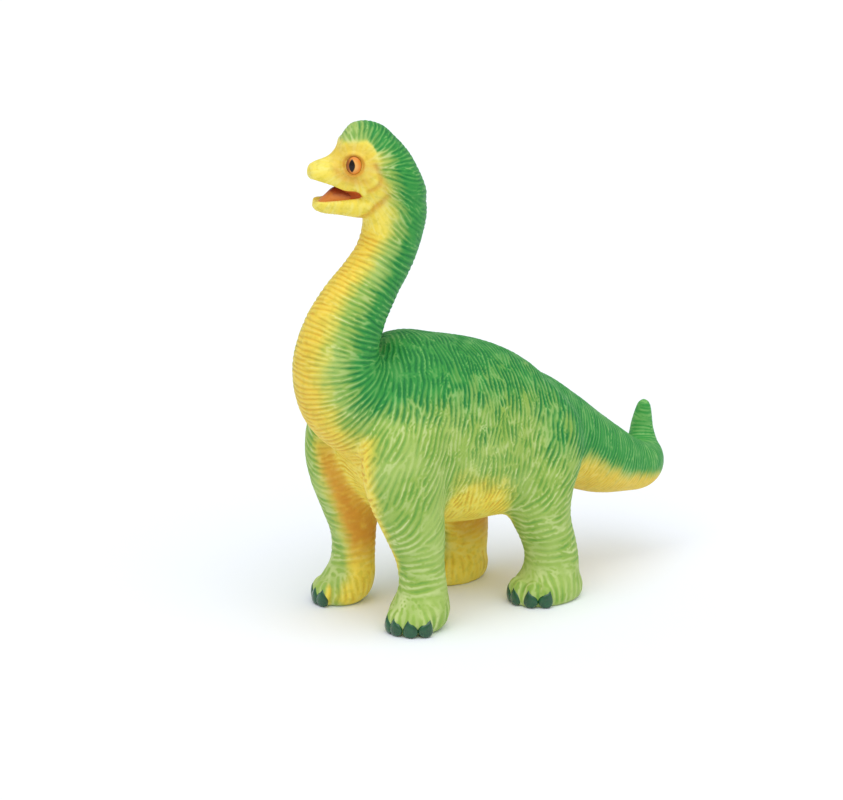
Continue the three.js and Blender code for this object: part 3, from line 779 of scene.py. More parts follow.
class Skin:
    """One closed skin of quads, which is smoothed, folded and parted."""

    def __init__(self, points, quads):
        self.points = points
        self.quads = quads
        keys = np.unique(edge_keys(np.sort(face_edges(quads), 1), len(points)))
        self.edges = np.stack((keys // len(points), keys % len(points)), 1)
        self.degree = np.bincount(self.edges.ravel(), minlength=len(points))

    def spread(self, values):
        """Mean of the neighbours' values at each point."""
        a, b = self.edges.T
        count = len(self.points)
        columns = values.reshape(count, -1).T
        sums = [np.bincount(a, column[b], count) + np.bincount(b, column[a], count) for column in columns]
        return (np.stack(sums, 1) / self.degree[:, None]).reshape(values.shape)

    def normals(self):
        a, b, c, d = (self.points[self.quads[:, k]] for k in range(4))
        face = np.cross(c - a, d - b)
        count = len(self.points)
        corners = self.quads.ravel()
        sums = [np.bincount(corners, np.repeat(face[:, axis], 4), count) for axis in range(3)]
        return unit(np.stack(sums, 1))

    def fill_creases(self, rounds):
        """Round off inner corners and leave the outer ones."""
        for _ in range(rounds):
            normals = self.normals()
            inward = dot(self.spread(self.points) - self.points, normals)
            self.points += normals * np.maximum(inward, 0)[:, None]

    def smooth(self, rounds, amount=0.5):
        for _ in range(rounds):
            self.points += amount * (self.spread(self.points) - self.points)

    def parted(self, labels, label, normals, attributes, inward):
        """The part of the skin under one label, closed by a fan behind each edge."""
        quads = self.quads[labels == label]
        used, corners = np.unique(quads, return_inverse=True)
        quads = corners.reshape(-1, 4)
        ends = face_edges(quads)
        count = len(used)
        rim = ends[~np.isin(edge_keys(ends, count), edge_keys(ends[:, ::-1], count))]
        loops = joined_groups(count, *rim.T)
        points = self.points[used]
        heart = points.mean(0)
        names, which = np.unique(loops[rim[:, 0]], return_inverse=True)
        middles = []
        for i in range(len(names)):
            loop = points[rim[which == i, 0]]
            middle = loop.mean(0)
            middles.append(middle + unit(heart - middle) * inward * np.ptp(loop, axis=0).max())
        fans = np.stack((rim[:, 1], rim[:, 0], count + which), 1)
        points = np.vstack([points, *middles])
        spare = np.zeros(len(middles))
        values = [(name, np.concatenate((value[used], spare))) for name, value in attributes.items()]
        corner_normals = np.vstack((normals[used][quads.ravel()], np.zeros((fans.size, 3))))
        return points, (quads, fans), values, corner_normals


# Folds

def near_pairs(points, centres, reach):
    """In turns, the pairs of a point and a centre that lie within reach of each other."""
    low = np.minimum(points.min(0), centres.min(0)) - 2 * reach
    cells = ((np.maximum(points.max(0), centres.max(0)) - low) / reach).astype(np.int64) + 3

    def keys(places):
        cell = ((places - low) / reach).astype(np.int64)
        return (cell[:, 0] * cells[1] + cell[:, 1]) * cells[2] + cell[:, 2]

    order = np.argsort(keys(centres), kind="stable")
    centre_keys = keys(centres)[order]
    batch = 20000
    for start in range(0, len(points), batch):
        own = keys(points[start:start + batch])
        found = []
        for i, j in itertools.product((-1, 0, 1), repeat=2):
            column = own + (i * cells[1] + j) * cells[2]
            first = np.searchsorted(centre_keys, column - 1, "left")
            count = np.searchsorted(centre_keys, column + 1, "right") - first
            point = np.repeat(np.arange(len(own)), count)
            place = np.arange(len(point)) - np.repeat(np.cumsum(count) - count - first, count)
            found.append((point + start, order[place]))
        point, centre = (np.concatenate(column) for column in zip(*found))
        close = np.sum((points[point] - centres[centre]) ** 2, 1) < reach**2
        yield point[close], centre[close]


class Waves:
    """Fold waves centred on the skin, which run across their own direction and join up."""

    def __init__(self, places, normals, across, pitches, seed):
        self.places = places
        self.normals = normals
        self.across = across
        self.along = np.cross(normals, across)
        self.pitches = pitches
        self.shades = np.random.default_rng(seed).random(len(places))
        self.phases = np.random.default_rng(seed + 1).uniform(-math.pi, math.pi, len(places))
        self.reach = WAVE_REACH * pitches.max()

    def settle(self, rounds):
        """Bring each wave in step with those beside it."""
        pairs = list(near_pairs(self.places, self.places, self.reach))
        mine, other = (np.concatenate(column) for column in zip(*pairs))
        gap = self.places[mine] - self.places[other]
        weight = self.weigh(gap, self.normals[mine], other)
        own = dot(gap, self.across[mine]) / self.pitches[mine]
        turn = math.pi * (own + dot(gap, self.across[other]) / self.pitches[other])
        for _ in range(rounds):
            angle = self.phases[other] + turn
            real = np.bincount(mine, weight * np.cos(angle), len(self.places))
            unreal = np.bincount(mine, weight * np.sin(angle), len(self.places))
            self.phases = np.arctan2(unreal, real)

    def weigh(self, gap, normals, centre):
        width = self.pitches[centre]
        across = dot(gap, self.across[centre]) / (WAVE_WIDTH * width)
        along = dot(gap, self.along[centre]) / (WAVE_LENGTH * width)
        facing = np.maximum(dot(normals, self.normals[centre]), 0)
        return np.exp(-0.5 * (across**2 + along**2)) * facing**2

    def read(self, points, normals):
        """Height of the folds from 0 in a crease to 1 on a crest, and a shade drawn out along them."""
        fold, shade = np.ones(len(points)), np.full(len(points), 0.5)
        for point, centre in near_pairs(points, self.places, self.reach):
            first, count = point.min(), np.ptp(point) + 1
            local = point - first
            gap = points[point] - self.places[centre]
            weight = self.weigh(gap, normals[point], centre)
            across = dot(gap, self.across[centre])
            angle = self.phases[centre] + 2 * math.pi * across / self.pitches[centre]
            real = np.bincount(local, weight * np.cos(angle), count)
            unreal = np.bincount(local, weight * np.sin(angle), count)
            total = np.maximum(np.bincount(local, weight, count), 1e-9)
            clear = np.hypot(real, unreal) / total
            ridge = np.abs(np.cos(np.arctan2(unreal, real) / 2))
            fold[first:first + count] = 1 - smooth_step(*CLEAR_WAVES, clear) * (1 - ridge)
            narrow = weight * np.exp(-0.5 * (across / (SHADE_WIDTH * self.pitches[centre])) ** 2)
            sharp = np.bincount(local, narrow * self.shades[centre], count)
            shade[first:first + count] = sharp / np.maximum(np.bincount(local, narrow, count), 1e-9)
        return fold, shade


def rough(points, size, seed):
    """Smooth noise from -1 to 1 at each point, as coarse as the size."""
    return np.array([noise.noise(Vector(point)) for point in points / size + seed])


# Survey, folds and paint over the skin

class Survey:
    """Where each point of the skin lies on the forms beneath."""

    def __init__(self, points, normals):
        self.points = points
        self.normals = normals
        self.torso = TORSO.measure(points)
        self.neck = neck.measure(points)
        self.tail = tail.measure(points)
        self.legs = [leg.measure(points) for leg in LEGS]
        self.face = to_head(points)
        self.above_seam = dot(points - HEAD_SEAM, HEAD_SEAM_DIRECTION)
        self.above_seam[points[:, 2] < HEAD_FLOOR] = -1

    def weights(self, fade):
        """How much of the trunk, neck, tail and legs counts at each point."""
        forms = [self.torso, self.neck, self.tail, *self.legs]
        weights = [np.exp(-np.maximum(form["outside"], 0) / fade) for form in forms]
        return np.array(weights) / np.sum(weights, 0)

    def plan(self, fade, torso, neck, tail, legs, head):
        """A value over the whole skin, blended from its value on each form."""
        weights = self.weights(fade)
        values = [torso, neck, tail, *legs]
        shape = weights[0].shape + (1,) * (values[1].ndim - 1)
        body = sum(weight.reshape(shape) * value for weight, value in zip(weights, values))
        on_head = smooth_step(*HEAD_FADE, self.above_seam).reshape(shape)
        return body + (head - body) * on_head

    def fold_direction(self):
        """The way across the folds: along the limbs, down the flanks and round the eyes."""
        x, _, heights = self.points.T
        down = np.array((0, 0, 1.0))
        round_foot = np.cross(down, self.normals)
        foot = smooth_step(16 * MM, 9 * MM, heights)[:, None]
        lean = np.radians(SHOULDER_LEAN) * smooth_step(20 * MM, 56 * MM, heights)
        outer = np.sign(self.points[:, 1])
        fore = np.stack((0.8 * np.sin(lean), -0.6 * outer * np.sin(lean), np.cos(lean)), 1)
        rise = np.maximum(heights - GROIN_HEIGHT, 0)
        hind = unit(np.stack((rise, -0.5 * outer * rise, np.maximum(GROIN_FORWARD - x, 4 * MM)), 1))
        legs = [above + (round_foot - above) * foot for above in (fore, fore, hind, hind)]
        from_eye = self.face - EYE_PLACE
        around = np.stack((from_eye[:, 2], np.zeros(len(heights)), -from_eye[:, 0]), 1)
        head = unit(around) @ HEAD_AXES
        torso = np.broadcast_to((1.0, 0, 0), self.points.shape)
        across = self.plan(fade=10 * MM, torso=torso, neck=self.neck["along"], tail=-self.tail["along"],
                           legs=legs, head=head)
        return unit(across - self.normals * dot(across, self.normals)[:, None])

    def fold_pitch(self, scale):
        """From fold to fold, wider on the legs and narrower on the tail and head."""
        heights = self.points[:, 2]
        legs = [2.6 + 0.3 * smooth_step(14 * MM, 8 * MM, heights)] * len(LEGS)
        tail = np.interp(self.tail["share"], *TAIL_PITCH)
        pitch = self.plan(fade=6 * MM, torso=1.8, neck=np.full(len(heights), 2.1), tail=tail, legs=legs,
                          head=1.7)
        return scale * MM * pitch * (1 + 0.3 * rough(self.points, 7 * MM, PITCH_SEED))

    def fold_wander(self):
        """How far the folds stray from their direction, in radians."""
        return self.plan(fade=6 * MM, torso=0.7, neck=np.full(len(self.points), 0.2), tail=0.4,
                         legs=[0.5] * len(LEGS), head=0.3)

    def fold_depth(self, scale):
        """From crease to crest, deeper on the thighs and fading out at the face and the soles."""
        heights = self.points[:, 2]
        shin, thigh = smooth_step(10 * MM, 30 * MM, heights), smooth_step(38 * MM, 55 * MM, heights)
        legs = [0.26 + 0.06 * shin + 0.16 * thigh] * len(LEGS)
        torso = 0.36 + 0.16 * smooth_step(-0.9, -0.5, self.torso["height"])
        tail = np.interp(self.tail["share"], *TAIL_DEPTH)
        head = 0.08 + 0.26 * smooth_step(0, 2.5 * MM, np.maximum(*past_face(self.face)))
        neck = np.full(len(heights), 0.42)
        depth = self.plan(fade=5 * MM, torso=torso, neck=neck, tail=tail, legs=legs, head=head)
        return scale * MM * depth * smooth_step(0, 3 * MM, heights)

    def outwardness(self, leg):
        """How far each point faces away from between the legs, where a foot's front counts as outer."""
        foot = smooth_step(26 * MM, 12 * MM, self.points[:, 2])
        return leg.side * self.normals[:, 1] + 0.45 * foot * self.normals[:, 0]

    def dark_paint(self):
        """How far each point lies inside the dark green of the back: 0 at its edge."""
        x, _, height = self.points.T
        edge = np.interp(self.torso["share"], *TRUNK_DARK_EDGE)
        torso = (self.torso["height"] - edge) / 0.44
        neck = (self.neck["back"] + 0.3) / 0.3
        tail = (self.tail["back"] + 0.22) / 0.25 + 3 * smooth_step(0.75, 0.9, self.tail["share"])
        fore = (height - FORE_LEG_HEIGHT) / (8 * MM)
        rear = (HIND_STANCE - x) / HIND_GIRTH
        patch = np.hypot(x - HIND_STANCE, height - HIP_HEIGHT) / (9 * MM)
        hind = np.maximum(np.minimum((height - 36 * MM) / (14 * MM), (rear - 0.5) / 0.2), 0.7 - patch)
        over, behind = past_face(self.face)
        crown = np.minimum(over / (2 * MM) - 0.2, 0.5 + behind / (7 * MM))
        nape = behind / (3 * MM) - 1.7
        return self.plan(fade=5 * MM, torso=torso, neck=neck, tail=tail, legs=[fore, fore, hind, hind],
                         head=np.maximum(crown, nape))

    def yellow_paint(self):
        """How far each point lies inside the yellow of the underside and face: 0 at its edge."""
        height = self.points[:, 2]
        belly = (-0.3 - self.torso["height"]) / 0.2
        breast = (self.normals[:, 0] - 0.42) / 0.3 + 2 * np.minimum(0.3 - self.torso["height"], 0)
        torso = np.maximum(belly, breast)
        half = np.interp(self.neck["share"], *THROAT_YELLOW)
        neck = (-self.neck["back"] - np.cos(np.radians(half))) / 0.2
        tail = (-self.tail["back"] - 0.27) / 0.25 - 6 * smooth_step(0.7, 0.85, self.tail["share"])
        legs = [(np.interp(height, LEG_YELLOW_HEIGHTS, limits) - self.outwardness(leg)) / 0.3
                for leg, limits in zip(LEGS, LEG_YELLOW)]
        over, behind = past_face(self.face)
        head = np.minimum(-over / (1.0 * MM) + 0.3, 0.3 - behind / (3.5 * MM))
        return self.plan(fade=3.5 * MM, torso=torso, neck=neck, tail=tail, legs=legs, head=head)

    def orange_paint_and_shade(self):
        """Where orange goes: paint on the eyelids, round the eyes and a little over the tail, and painted
        shade in the creases of the face, under the throat and high between the legs.
        """
        flat = self.face[:, (0, 2)]
        eye = past_eye(flat)
        head = 0.8 * np.exp(-((eye - 0.1 * MM) / (0.9 * MM)) ** 2)
        head += 0.35 * np.exp(-((eye - 2.5 * MM) / (2.2 * MM)) ** 2)
        # Painted shade: orange in the sunk lines of the face
        for line, width, rise in FACE_LINES:
            near = line_distance(flat, np.array(line) * MM) / (1.4 * width * MM)
            head += max(-0.9 * rise, 0) * np.exp(-near**2)
        # Painted shade: orange on the inner faces high between the legs
        inner = [smooth_step(0.2, 0.85, -self.outwardness(leg)) for leg in LEGS]
        legs = [side * smooth_step(12 * MM, 30 * MM, self.points[:, 2]) for side in inner]
        # Painted shade: a little orange under the throat
        under = 0.25 * smooth_step(0.75, 1, -self.neck["back"])
        return np.clip(self.plan(fade=4 * MM, torso=0, neck=under, tail=0.3, legs=legs, head=head), 0, 1)

    def pieces(self):
        """The number of the moulding that each point belongs to."""
        outside = np.array([form["outside"] for form in (self.torso, self.neck, self.tail, *self.legs)])
        nearest = np.argmin(outside, 0)
        piece = np.where(nearest > 0, nearest + 1, np.where(self.points[:, 1] > 0, 0, 1))
        on_head = self.above_seam > 0
        off_jaw = JAW.measure(self.face)["outside"]
        closer = off_jaw < np.minimum(SKULL.measure(self.face)["outside"], JAW_REACH)
        jaw = closer & (self.face[:, 0] + JAW_PARTING_SLANT * self.face[:, 2] > JAW_PARTING)
        return np.where(on_head, np.where(jaw, JAW_NUMBER, HEAD_NUMBER), piece)


def line_distance(points, line):
    """Distance of each flat point to a line through a few points."""
    nearest = np.full(len(points), np.inf)
    for start, end in zip(line[:-1], line[1:]):
        way = end - start
        share = np.clip((points - start) @ way / (way @ way), 0, 1)
        nearest = np.minimum(nearest, np.linalg.norm(points - start - share[:, None] * way, axis=1))
    return nearest


def past_eye(flat):
    """How far each flat point of the face lies outside the eye."""
    return np.hypot(flat[:, 0] - EYE_PLACE[0], flat[:, 1] - EYE_PLACE[2]) - EYE_RADIUS


def face_relief(face):
    """How far the skin of the head stands out for its brow, lids, lips and cheek."""
    flat = face[:, (0, 2)]
    on_side = smooth_step(2.5 * MM, 5.5 * MM, np.abs(face[:, 1]))
    relief = np.zeros(len(face))
    for line, width, rise in FACE_LINES:
        near = line_distance(flat, np.array(line) * MM) / (width * MM)
        relief += rise * MM * np.exp(-near**2) * on_side
    eye = past_eye(flat)
    lid = 0.42 * np.exp(-((eye - 0.8 * MM) / (0.5 * MM)) ** 2)
    hollow = -0.5 * smooth_step(0.6 * MM, -0.2 * MM, eye)
    crease = -0.22 * np.exp(-((eye - 1.9 * MM) / (0.4 * MM)) ** 2)
    return relief + (lid + hollow + crease) * MM * on_side


def mouth_mask(face):
    """1 inside the lips, where the mouth is hollowed and lined."""
    skull, jaw = SKULL.measure(face), JAW.measure(face)
    forward = face[:, 0]
    far = smooth_step(*MOUTH_REAR, forward) * smooth_step(*MOUTH_FRONT, forward)
    roof = smooth_step(-0.35, -0.6, skull["height"]) * within_lips(SKULL, face)
    bed = smooth_step(0.42, 0.7, jaw["height"]) * within_lips(JAW, face)
    on_jaw = jaw["outside"] < skull["outside"]
    return far * np.where(on_jaw, bed, roof)


def within_lips(form, face):
    """1 between the lips, and 0 where they begin."""
    half_width = form.section(form.share(face))[3]
    return smooth_step(1.0, 0.7, np.abs(face[:, 1]) / (LIP_SHARE * half_width))


def past_face(face):
    """How far each point lies above the brow, and how far behind the cheek."""
    forward, _, up = face.T
    return up - np.interp(forward, *BROW.T), np.interp(up, *FACE_REAR.T) - forward


def moulded_skin(voxel):
    """The whole figure in one fine skin, before its folds."""
    tree = limb_tree()
    parts = [loft(TORSO.rings(sides=64, count=60)), swept_limb(neck, tree, sides=64),
             swept_limb(tail, tree, sides=56)]
    parts += [loft(leg_rings(leg, sides=48, count=48)) for leg in LEGS]
    parts.append(loft(from_head(SKULL.rings(sides=56, count=40))))
    body = Skin(*remeshed(gathered("limbs", parts), BODY_VOXEL))
    body.fill_creases(BODY_FILL_ROUNDS)
    parts = [(body.points, [body.quads])]
    parts += [loft(from_head(form.rings(sides=56, count=40))) for form in (SKULL, JAW)]
    for leg in LEGS:
        for turn in leg.toe_turns:
            place, angle = foot_place(leg, TOE_RISE, TOE_SEAT_SHARE, turn)
            parts.append(loft(ball_rings(place, TOE_SIZES, angle)))
    skin = Skin(*remeshed(gathered("figure", parts), voxel))
    skin.fill_creases(SKIN_FILL_ROUNDS)
    skin.smooth(3)
    normals = skin.normals()
    on_head = Survey(skin.points, normals).above_seam > RELIEF_START
    face = to_head(skin.points[on_head])
    rise = face_relief(face) - MOUTH_HOLLOW * mouth_mask(face)
    skin.points[on_head] += normals[on_head] * rise[:, None]
    skin.smooth(2)
    return skin


def turned(directions, normals, angle):
    """Directions in the skin, each turned about its normal."""
    return directions * np.cos(angle)[:, None] + np.cross(normals, directions) * np.sin(angle)[:, None]


def folded_skin(voxel, pitch_scale, depth_scale):
    """The skin with its folds, the survey beneath it, and how deep and how shaded each point lies."""
    skin = moulded_skin(voxel)
    normals = skin.normals()
    chosen = np.random.default_rng(PLACE_SEED).random(len(skin.points)) < WAVE_SHARE
    sparse = Survey(skin.points[chosen], normals[chosen])
    across = sparse.fold_direction()
    wander = sparse.fold_wander()
    across = turned(across, sparse.normals, wander * rough(sparse.points, 5 * MM, WANDER_SEED))
    pitch = sparse.fold_pitch(pitch_scale)
    waves = Waves(sparse.points, sparse.normals, across, pitch, WAVE_SEED)
    waves.settle(WAVE_ROUNDS)
    fold, shade = waves.read(skin.points, normals)
    stray = FINE_WANDER * wander * rough(sparse.points, 3 * MM, FINE_WANDER_SEED)
    across = turned(across, sparse.normals, stray)
    fine = Waves(sparse.points, sparse.normals, across, FINE_PITCH * pitch, FINE_WAVE_SEED)
    fold = (1 - FINE_SHARE) * fold + FINE_SHARE * fine.read(skin.points, normals)[0]
    survey = Survey(skin.points, normals)
    unevenness = 2 * survey.fold_wander() * rough(skin.points, 5 * MM, DEPTH_SEED)
    depth = survey.fold_depth(depth_scale) * np.clip(1 + unevenness, 0.3, 1.4)
    skin.points = skin.points + normals * (depth * (fold - REST_LEVEL))[:, None]
    return skin, survey, 1 - np.clip(depth * (1 - fold) / FULL_DEPTH, 0, 1), shade


def largest_patches(quads, labels, count):
    """Labels where stray patches take the label round them."""
    order = np.argsort(edge_keys(np.sort(face_edges(quads), 1), count), kind="stable")
    face = np.repeat(np.arange(len(quads)), 4)[order]
    first, second = face[0::2], face[1::2]
    while True:
        same = labels[first] == labels[second]
        patch = joined_groups(len(quads), first[same], second[same])
        sizes = np.bincount(patch, minlength=len(quads))
        stray = np.ones(len(quads), bool)
        for label in np.unique(labels):
            home = np.argmax(np.where(np.bincount(patch, labels == label, len(quads)) > 0, sizes, 0))
            stray[patch == home] = False
        if not stray.any():
            return labels
        labels = labels.copy()
        for mine, other in ((first, second), (second, first)):
            edge = stray[mine] & ~stray[other]
            labels[mine[edge]] = labels[other[edge]]


# Materials

def colour(red, green, blue):
    """Linear colour of an sRGB one."""
    share = np.array((red, green, blue)) / 255
    linear = np.where(share <= 0.04045, share / 12.92, ((share + 0.055) / 1.055) ** 2.4)
    return (*(float(part) for part in linear), 1.0)


def new_material(name, roughness, specular):
    """A material, its node tree and its shader, with the gloss set on the shader itself."""
    material = bpy.data.materials.new(name)
    material.use_nodes = True
    shader = material.node_tree.nodes["Principled BSDF"]
    shader.inputs["Roughness"].default_value = roughness
    shader.inputs["Specular IOR Level"].default_value = specular
    return material, Tree(material.node_tree), shader


def fold_colour_group():
    """Creases darkened partly by a wash and partly by painted shade, plain flanks, and crests lightened
    partly by dry-brushing and partly by a painted highlight.
    """
    tree, given, result = new_group("Shader", "fold_colour", (
        ("Fold", "Float", 1.0), ("Shade", "Float", 0.5), ("Crest", "Color", colour(200, 214, 146)),
        ("Flank", "Color", colour(148, 180, 80)), ("Crease", "Color", colour(112, 162, 66))),
        ("Paint", "Color"))
    # Creases take the crease colour, partly a wash and partly painted shade; crests take a painted
    # highlight over the dry-brushing
    wash_and_shade = tree.mix(tree.ramp(given["Fold"], 0.05, 0.85), given["Crease"], given["Flank"])
    high, drawn = tree.ramp(given["Fold"], 0.78, 1.0), tree.ramp(given["Shade"], 0.2, 0.8)
    tree.give(result, tree.mix(tree.maths("MULTIPLY", high, drawn), wash_and_shade, given["Crest"]))
    return tree.tree


def sprayed_edge_group():
    """Mask of a sprayed field whose edge runs out along the folds."""
    tree, given, result = new_group("Shader", "sprayed_edge", (
        ("Inside", "Float", 0.0), ("Shade", "Float", 0.5), ("Fold", "Float", 1.0), ("Rag", "Float", 1.0),
        ("Blot", "Float", 0.5)), ("Mask", "Float"))
    drawn = tree.maths("MULTIPLY", tree.maths("SUBTRACT", given["Shade"], 0.5), given["Rag"])
    half_rag = tree.maths("MULTIPLY", given["Rag"], 0.5)
    sunk = tree.maths("MULTIPLY", tree.maths("SUBTRACT", 0.6, given["Fold"]), half_rag)
    blot = tree.maths("MULTIPLY", tree.maths("SUBTRACT", tree.noise(140.0), 0.5), given["Blot"])
    edge = tree.total(given["Inside"], drawn, sunk, blot)
    tree.give(result, tree.ramp(edge, -1.1, 1.1))
    return tree.tree


def patches_group():
    """Mask of loose patches of paint, as coarse as the scale says."""
    tree, given, result = new_group("Shader", "paint_patches", (
        ("Scale", "Float", 300.0), ("Detail", "Float", 2.0), ("Low", "Float", 0.4), ("High", "Float", 0.7),
        ("Amount", "Float", 1.0)), ("Mask", "Float"))
    patches = tree.ramp(tree.noise(given["Scale"], given["Detail"]), given["Low"], given["High"])
    tree.give(result, tree.maths("MULTIPLY", patches, given["Amount"]))
    return tree.tree


def grain_group():
    """Height of the fine grain that the mould and the paint leave on the vinyl."""
    tree, given, result = new_group("Shader", "vinyl_grain", (
        ("Fine", "Float", 1400.0), ("Coarse", "Float", 520.0)), ("Height", "Float"))
    fine, coarse = tree.noise(given["Fine"], 3.0), tree.noise(given["Coarse"], 2.0)
    tree.give(result, tree.maths("ADD", fine, coarse))
    return tree.tree


def shared(make, name):
    """A shader group, which is built once."""
    return bpy.data.node_groups.get(name) or make()


def give_grain(tree, shader, strength):
    height = tree.group(shared(grain_group, "vinyl_grain"), Fine=1400.0, Coarse=520.0)
    bump = tree.add("Bump", {"Height": height, "Strength": strength, "Distance": 0.3 * MM})
    tree.give(shader.inputs["Normal"], bump.outputs["Normal"])


def vinyl_material(paint):
    """Sprayed and brushed vinyl: green, darker on the back and yellow on the face and underside."""
    material, tree, shader = new_material("sprayed_vinyl", roughness=paint.roughness, specular=0.22)
    fold, shade = tree.attribute("fold"), tree.attribute("shade")
    colours, edges = shared(fold_colour_group, "fold_colour"), shared(sprayed_edge_group, "sprayed_edge")
    patches = shared(patches_group, "paint_patches")
    # Each set's crease colour is partly wash and partly painted shade, and its crest colour partly
    # dry-brush and partly painted highlight
    green, dark, yellow = (
        tree.group(colours, Fold=fold, Shade=shade, Crest=getattr(paint, part + "_crest"),
                   Flank=getattr(paint, part + "_flank"), Crease=getattr(paint, part + "_crease"))
        for part in ("side", "back", "under"))
    pale = tree.group(patches, Scale=70.0, Detail=1.0, Low=0.42, High=0.7, Amount=0.5)
    green = tree.mix(pale, green, paint.side_patches)
    mottle = tree.group(patches, Scale=420.0, Detail=3.0, Low=0.48, High=0.66, Amount=0.42)
    yellow = tree.mix(mottle, yellow, paint.under_mottle)
    # Orange: paint round the eyes and on the tail, and painted shade in the face's creases, under the
    # throat and between the legs
    orange_and_shade = tree.group(patches, Scale=300.0, Detail=2.0, Low=-0.2, High=0.6, Amount=tree.attribute("tan"))
    yellow = tree.mix(orange_and_shade, yellow, paint.orange_and_shade)
    on_dark, on_yellow = (
        tree.group(edges, Inside=tree.attribute(name), Shade=shade, Fold=fold, Rag=rag, Blot=blot)
        for name, rag, blot in (("dark", 1.6, 0.75), ("yellow", -0.6, 1.6)))
    base = tree.mix(on_yellow, tree.mix(on_dark, green, dark), yellow)
    base = tree.mix(tree.ramp(tree.attribute("lined"), 0.3, 0.6), base, paint.gums)
    tree.give(shader.inputs["Base Color"], base)
    give_grain(tree, shader, strength=0.5)
    return material


def claw_material(enamel):
    material, tree, shader = new_material("claw_enamel", roughness=0.25, specular=0.5)
    worn = tree.group(shared(patches_group, "paint_patches"), Scale=260.0, Low=0.35, High=0.7)
    tree.give(shader.inputs["Base Color"], tree.mix(worn, enamel, tuple(0.7 * part for part in enamel)))
    shader.inputs["Coat Weight"].default_value = 0.4
    give_grain(tree, shader, strength=0.15)
    return material


def eye_material(eye):
    """Iris with a painted highlight beside the pupil, slit pupil, and a painted shadow of the lids round
    the rim, placed by how far across and up the eye each point lies.
    """
    material, tree, shader = new_material("painted_eye", roughness=0.16, specular=0.3)
    across, up = tree.attribute("across"), tree.attribute("up")
    ring = tree.maths("SQRT", tree.total(tree.maths("POWER", across, 2.0), tree.maths("POWER", up, 2.0)))
    slit_across = tree.maths("DIVIDE", tree.maths("SUBTRACT", across, PUPIL_FORWARD), PUPIL_HALF_SIZES[0])
    slit_up = tree.maths("POWER", tree.maths("DIVIDE", up, PUPIL_HALF_SIZES[1]), 2.0)
    slit = tree.maths("ADD", tree.maths("ABSOLUTE", slit_across), slit_up)
    # Painted highlight: the iris pales beside the pupil
    iris = tree.mix(tree.ramp(ring, 0.3, 0.85), eye.iris_painted_highlight, eye.iris)
    iris = tree.mix(tree.ramp(across, 0.2, 0.75), iris, eye.iris_dark)
    # Painted shadow of the lids: the iris darkens round its rim
    rim = tree.mix(tree.ramp(ring, 0.84, 0.98), iris, eye.iris_dark)
    tree.give(shader.inputs["Base Color"], tree.mix(tree.ramp(slit, 1.15, 0.9), rim, eye.pupil))
    return material


def mouth_material(mouth):
    """Orange paint with painted shade, darker the deeper it lies between the jaws."""
    material, tree, shader = new_material("mouth_paint", roughness=0.4, specular=0.3)
    uneven = tree.maths("MULTIPLY_ADD", tree.noise(500.0), 0.5, -0.25)
    deep = tree.ramp(tree.maths("ADD", tree.attribute("deep"), uneven), 0.1, 0.9)
    tree.give(shader.inputs["Base Color"], tree.mix(deep, mouth.front, mouth.throat))
    give_grain(tree, shader, strength=0.3)
    return material


def floor_material(floor):
    material, tree, shader = new_material("white_floor", roughness=0.9, specular=0.0)
    dust = tree.group(shared(patches_group, "paint_patches"), Scale=6.0, Amount=0.02)
    tree.give(shader.inputs["Base Color"], tree.mix(dust, floor, (1, 1, 1, 1)))
    return material


# Claws, eyes and mouth

def nail_rings():
    """A pointed nail that stands up on Z and bulges along X, of unit half width and height."""
    turn = even_angles(32)
    across = np.sin(turn) * np.abs(np.sin(turn / 2)) ** NAIL_POINT / NAIL_FULLNESS
    up = np.cos(turn)
    rings = []
    for depth, share in NAIL_SHARES:
        x = depth - NAIL_BULGE[0] * (share * across) ** 2 - NAIL_BULGE[1] * (share * up) ** 2
        rings.append(np.stack((x, share * across, share * up), 1))
    return np.array(rings)


def claw_tree():
    """Node tree that stands a claw on each point, turned by its turn attribute."""
    tree, given, result = new_group("Geometry", "claws_on_toes", (
        ("Toes", "Geometry"), ("Claw", "Object"), ("Finish", "Material")), ("Claws", "Geometry"))
    claw = tree.add("ObjectInfo", {"Object": given["Claw"]})
    turn = tree.add("InputNamedAttribute", {"Name": "turn"}, data_type="FLOAT_VECTOR")
    rotation = tree.tree.nodes.new("FunctionNodeEulerToRotation")
    tree.give(rotation.inputs["Euler"], turn.outputs["Attribute"])
    placed = tree.add("InstanceOnPoints", {
        "Points": given["Toes"], "Instance": claw.outputs["Geometry"],
        "Rotation": rotation.outputs["Rotation"]})
    tree.finish(placed.outputs["Instances"], given["Finish"], result)
    return tree.tree


def toe_points(leg, out_from_toe, below_toe):
    """The places of a leg's claws, each with the way that its claw is turned."""
    places, turns = [], []
    for turn, roll in zip(leg.toe_turns, CLAW_ROLLS):
        place, angle = foot_place(leg, TOE_RISE, TOE_SEAT_SHARE, turn)
        out = np.array((math.cos(angle), math.sin(angle), 0))
        places.append(place + out * out_from_toe - np.array((0, 0, below_toe)))
        turns.append((math.radians(roll * leg.side), math.radians(CLAW_TILT), angle))
    mesh = bpy.data.meshes.new("toes")
    mesh.from_pydata((np.array(places) + MODEL_ORIGIN).tolist(), [], [])
    mesh.attributes.new("turn", "FLOAT_VECTOR", "POINT").data.foreach_set("vector", np.ravel(turns))
    return linked("toes", mesh)


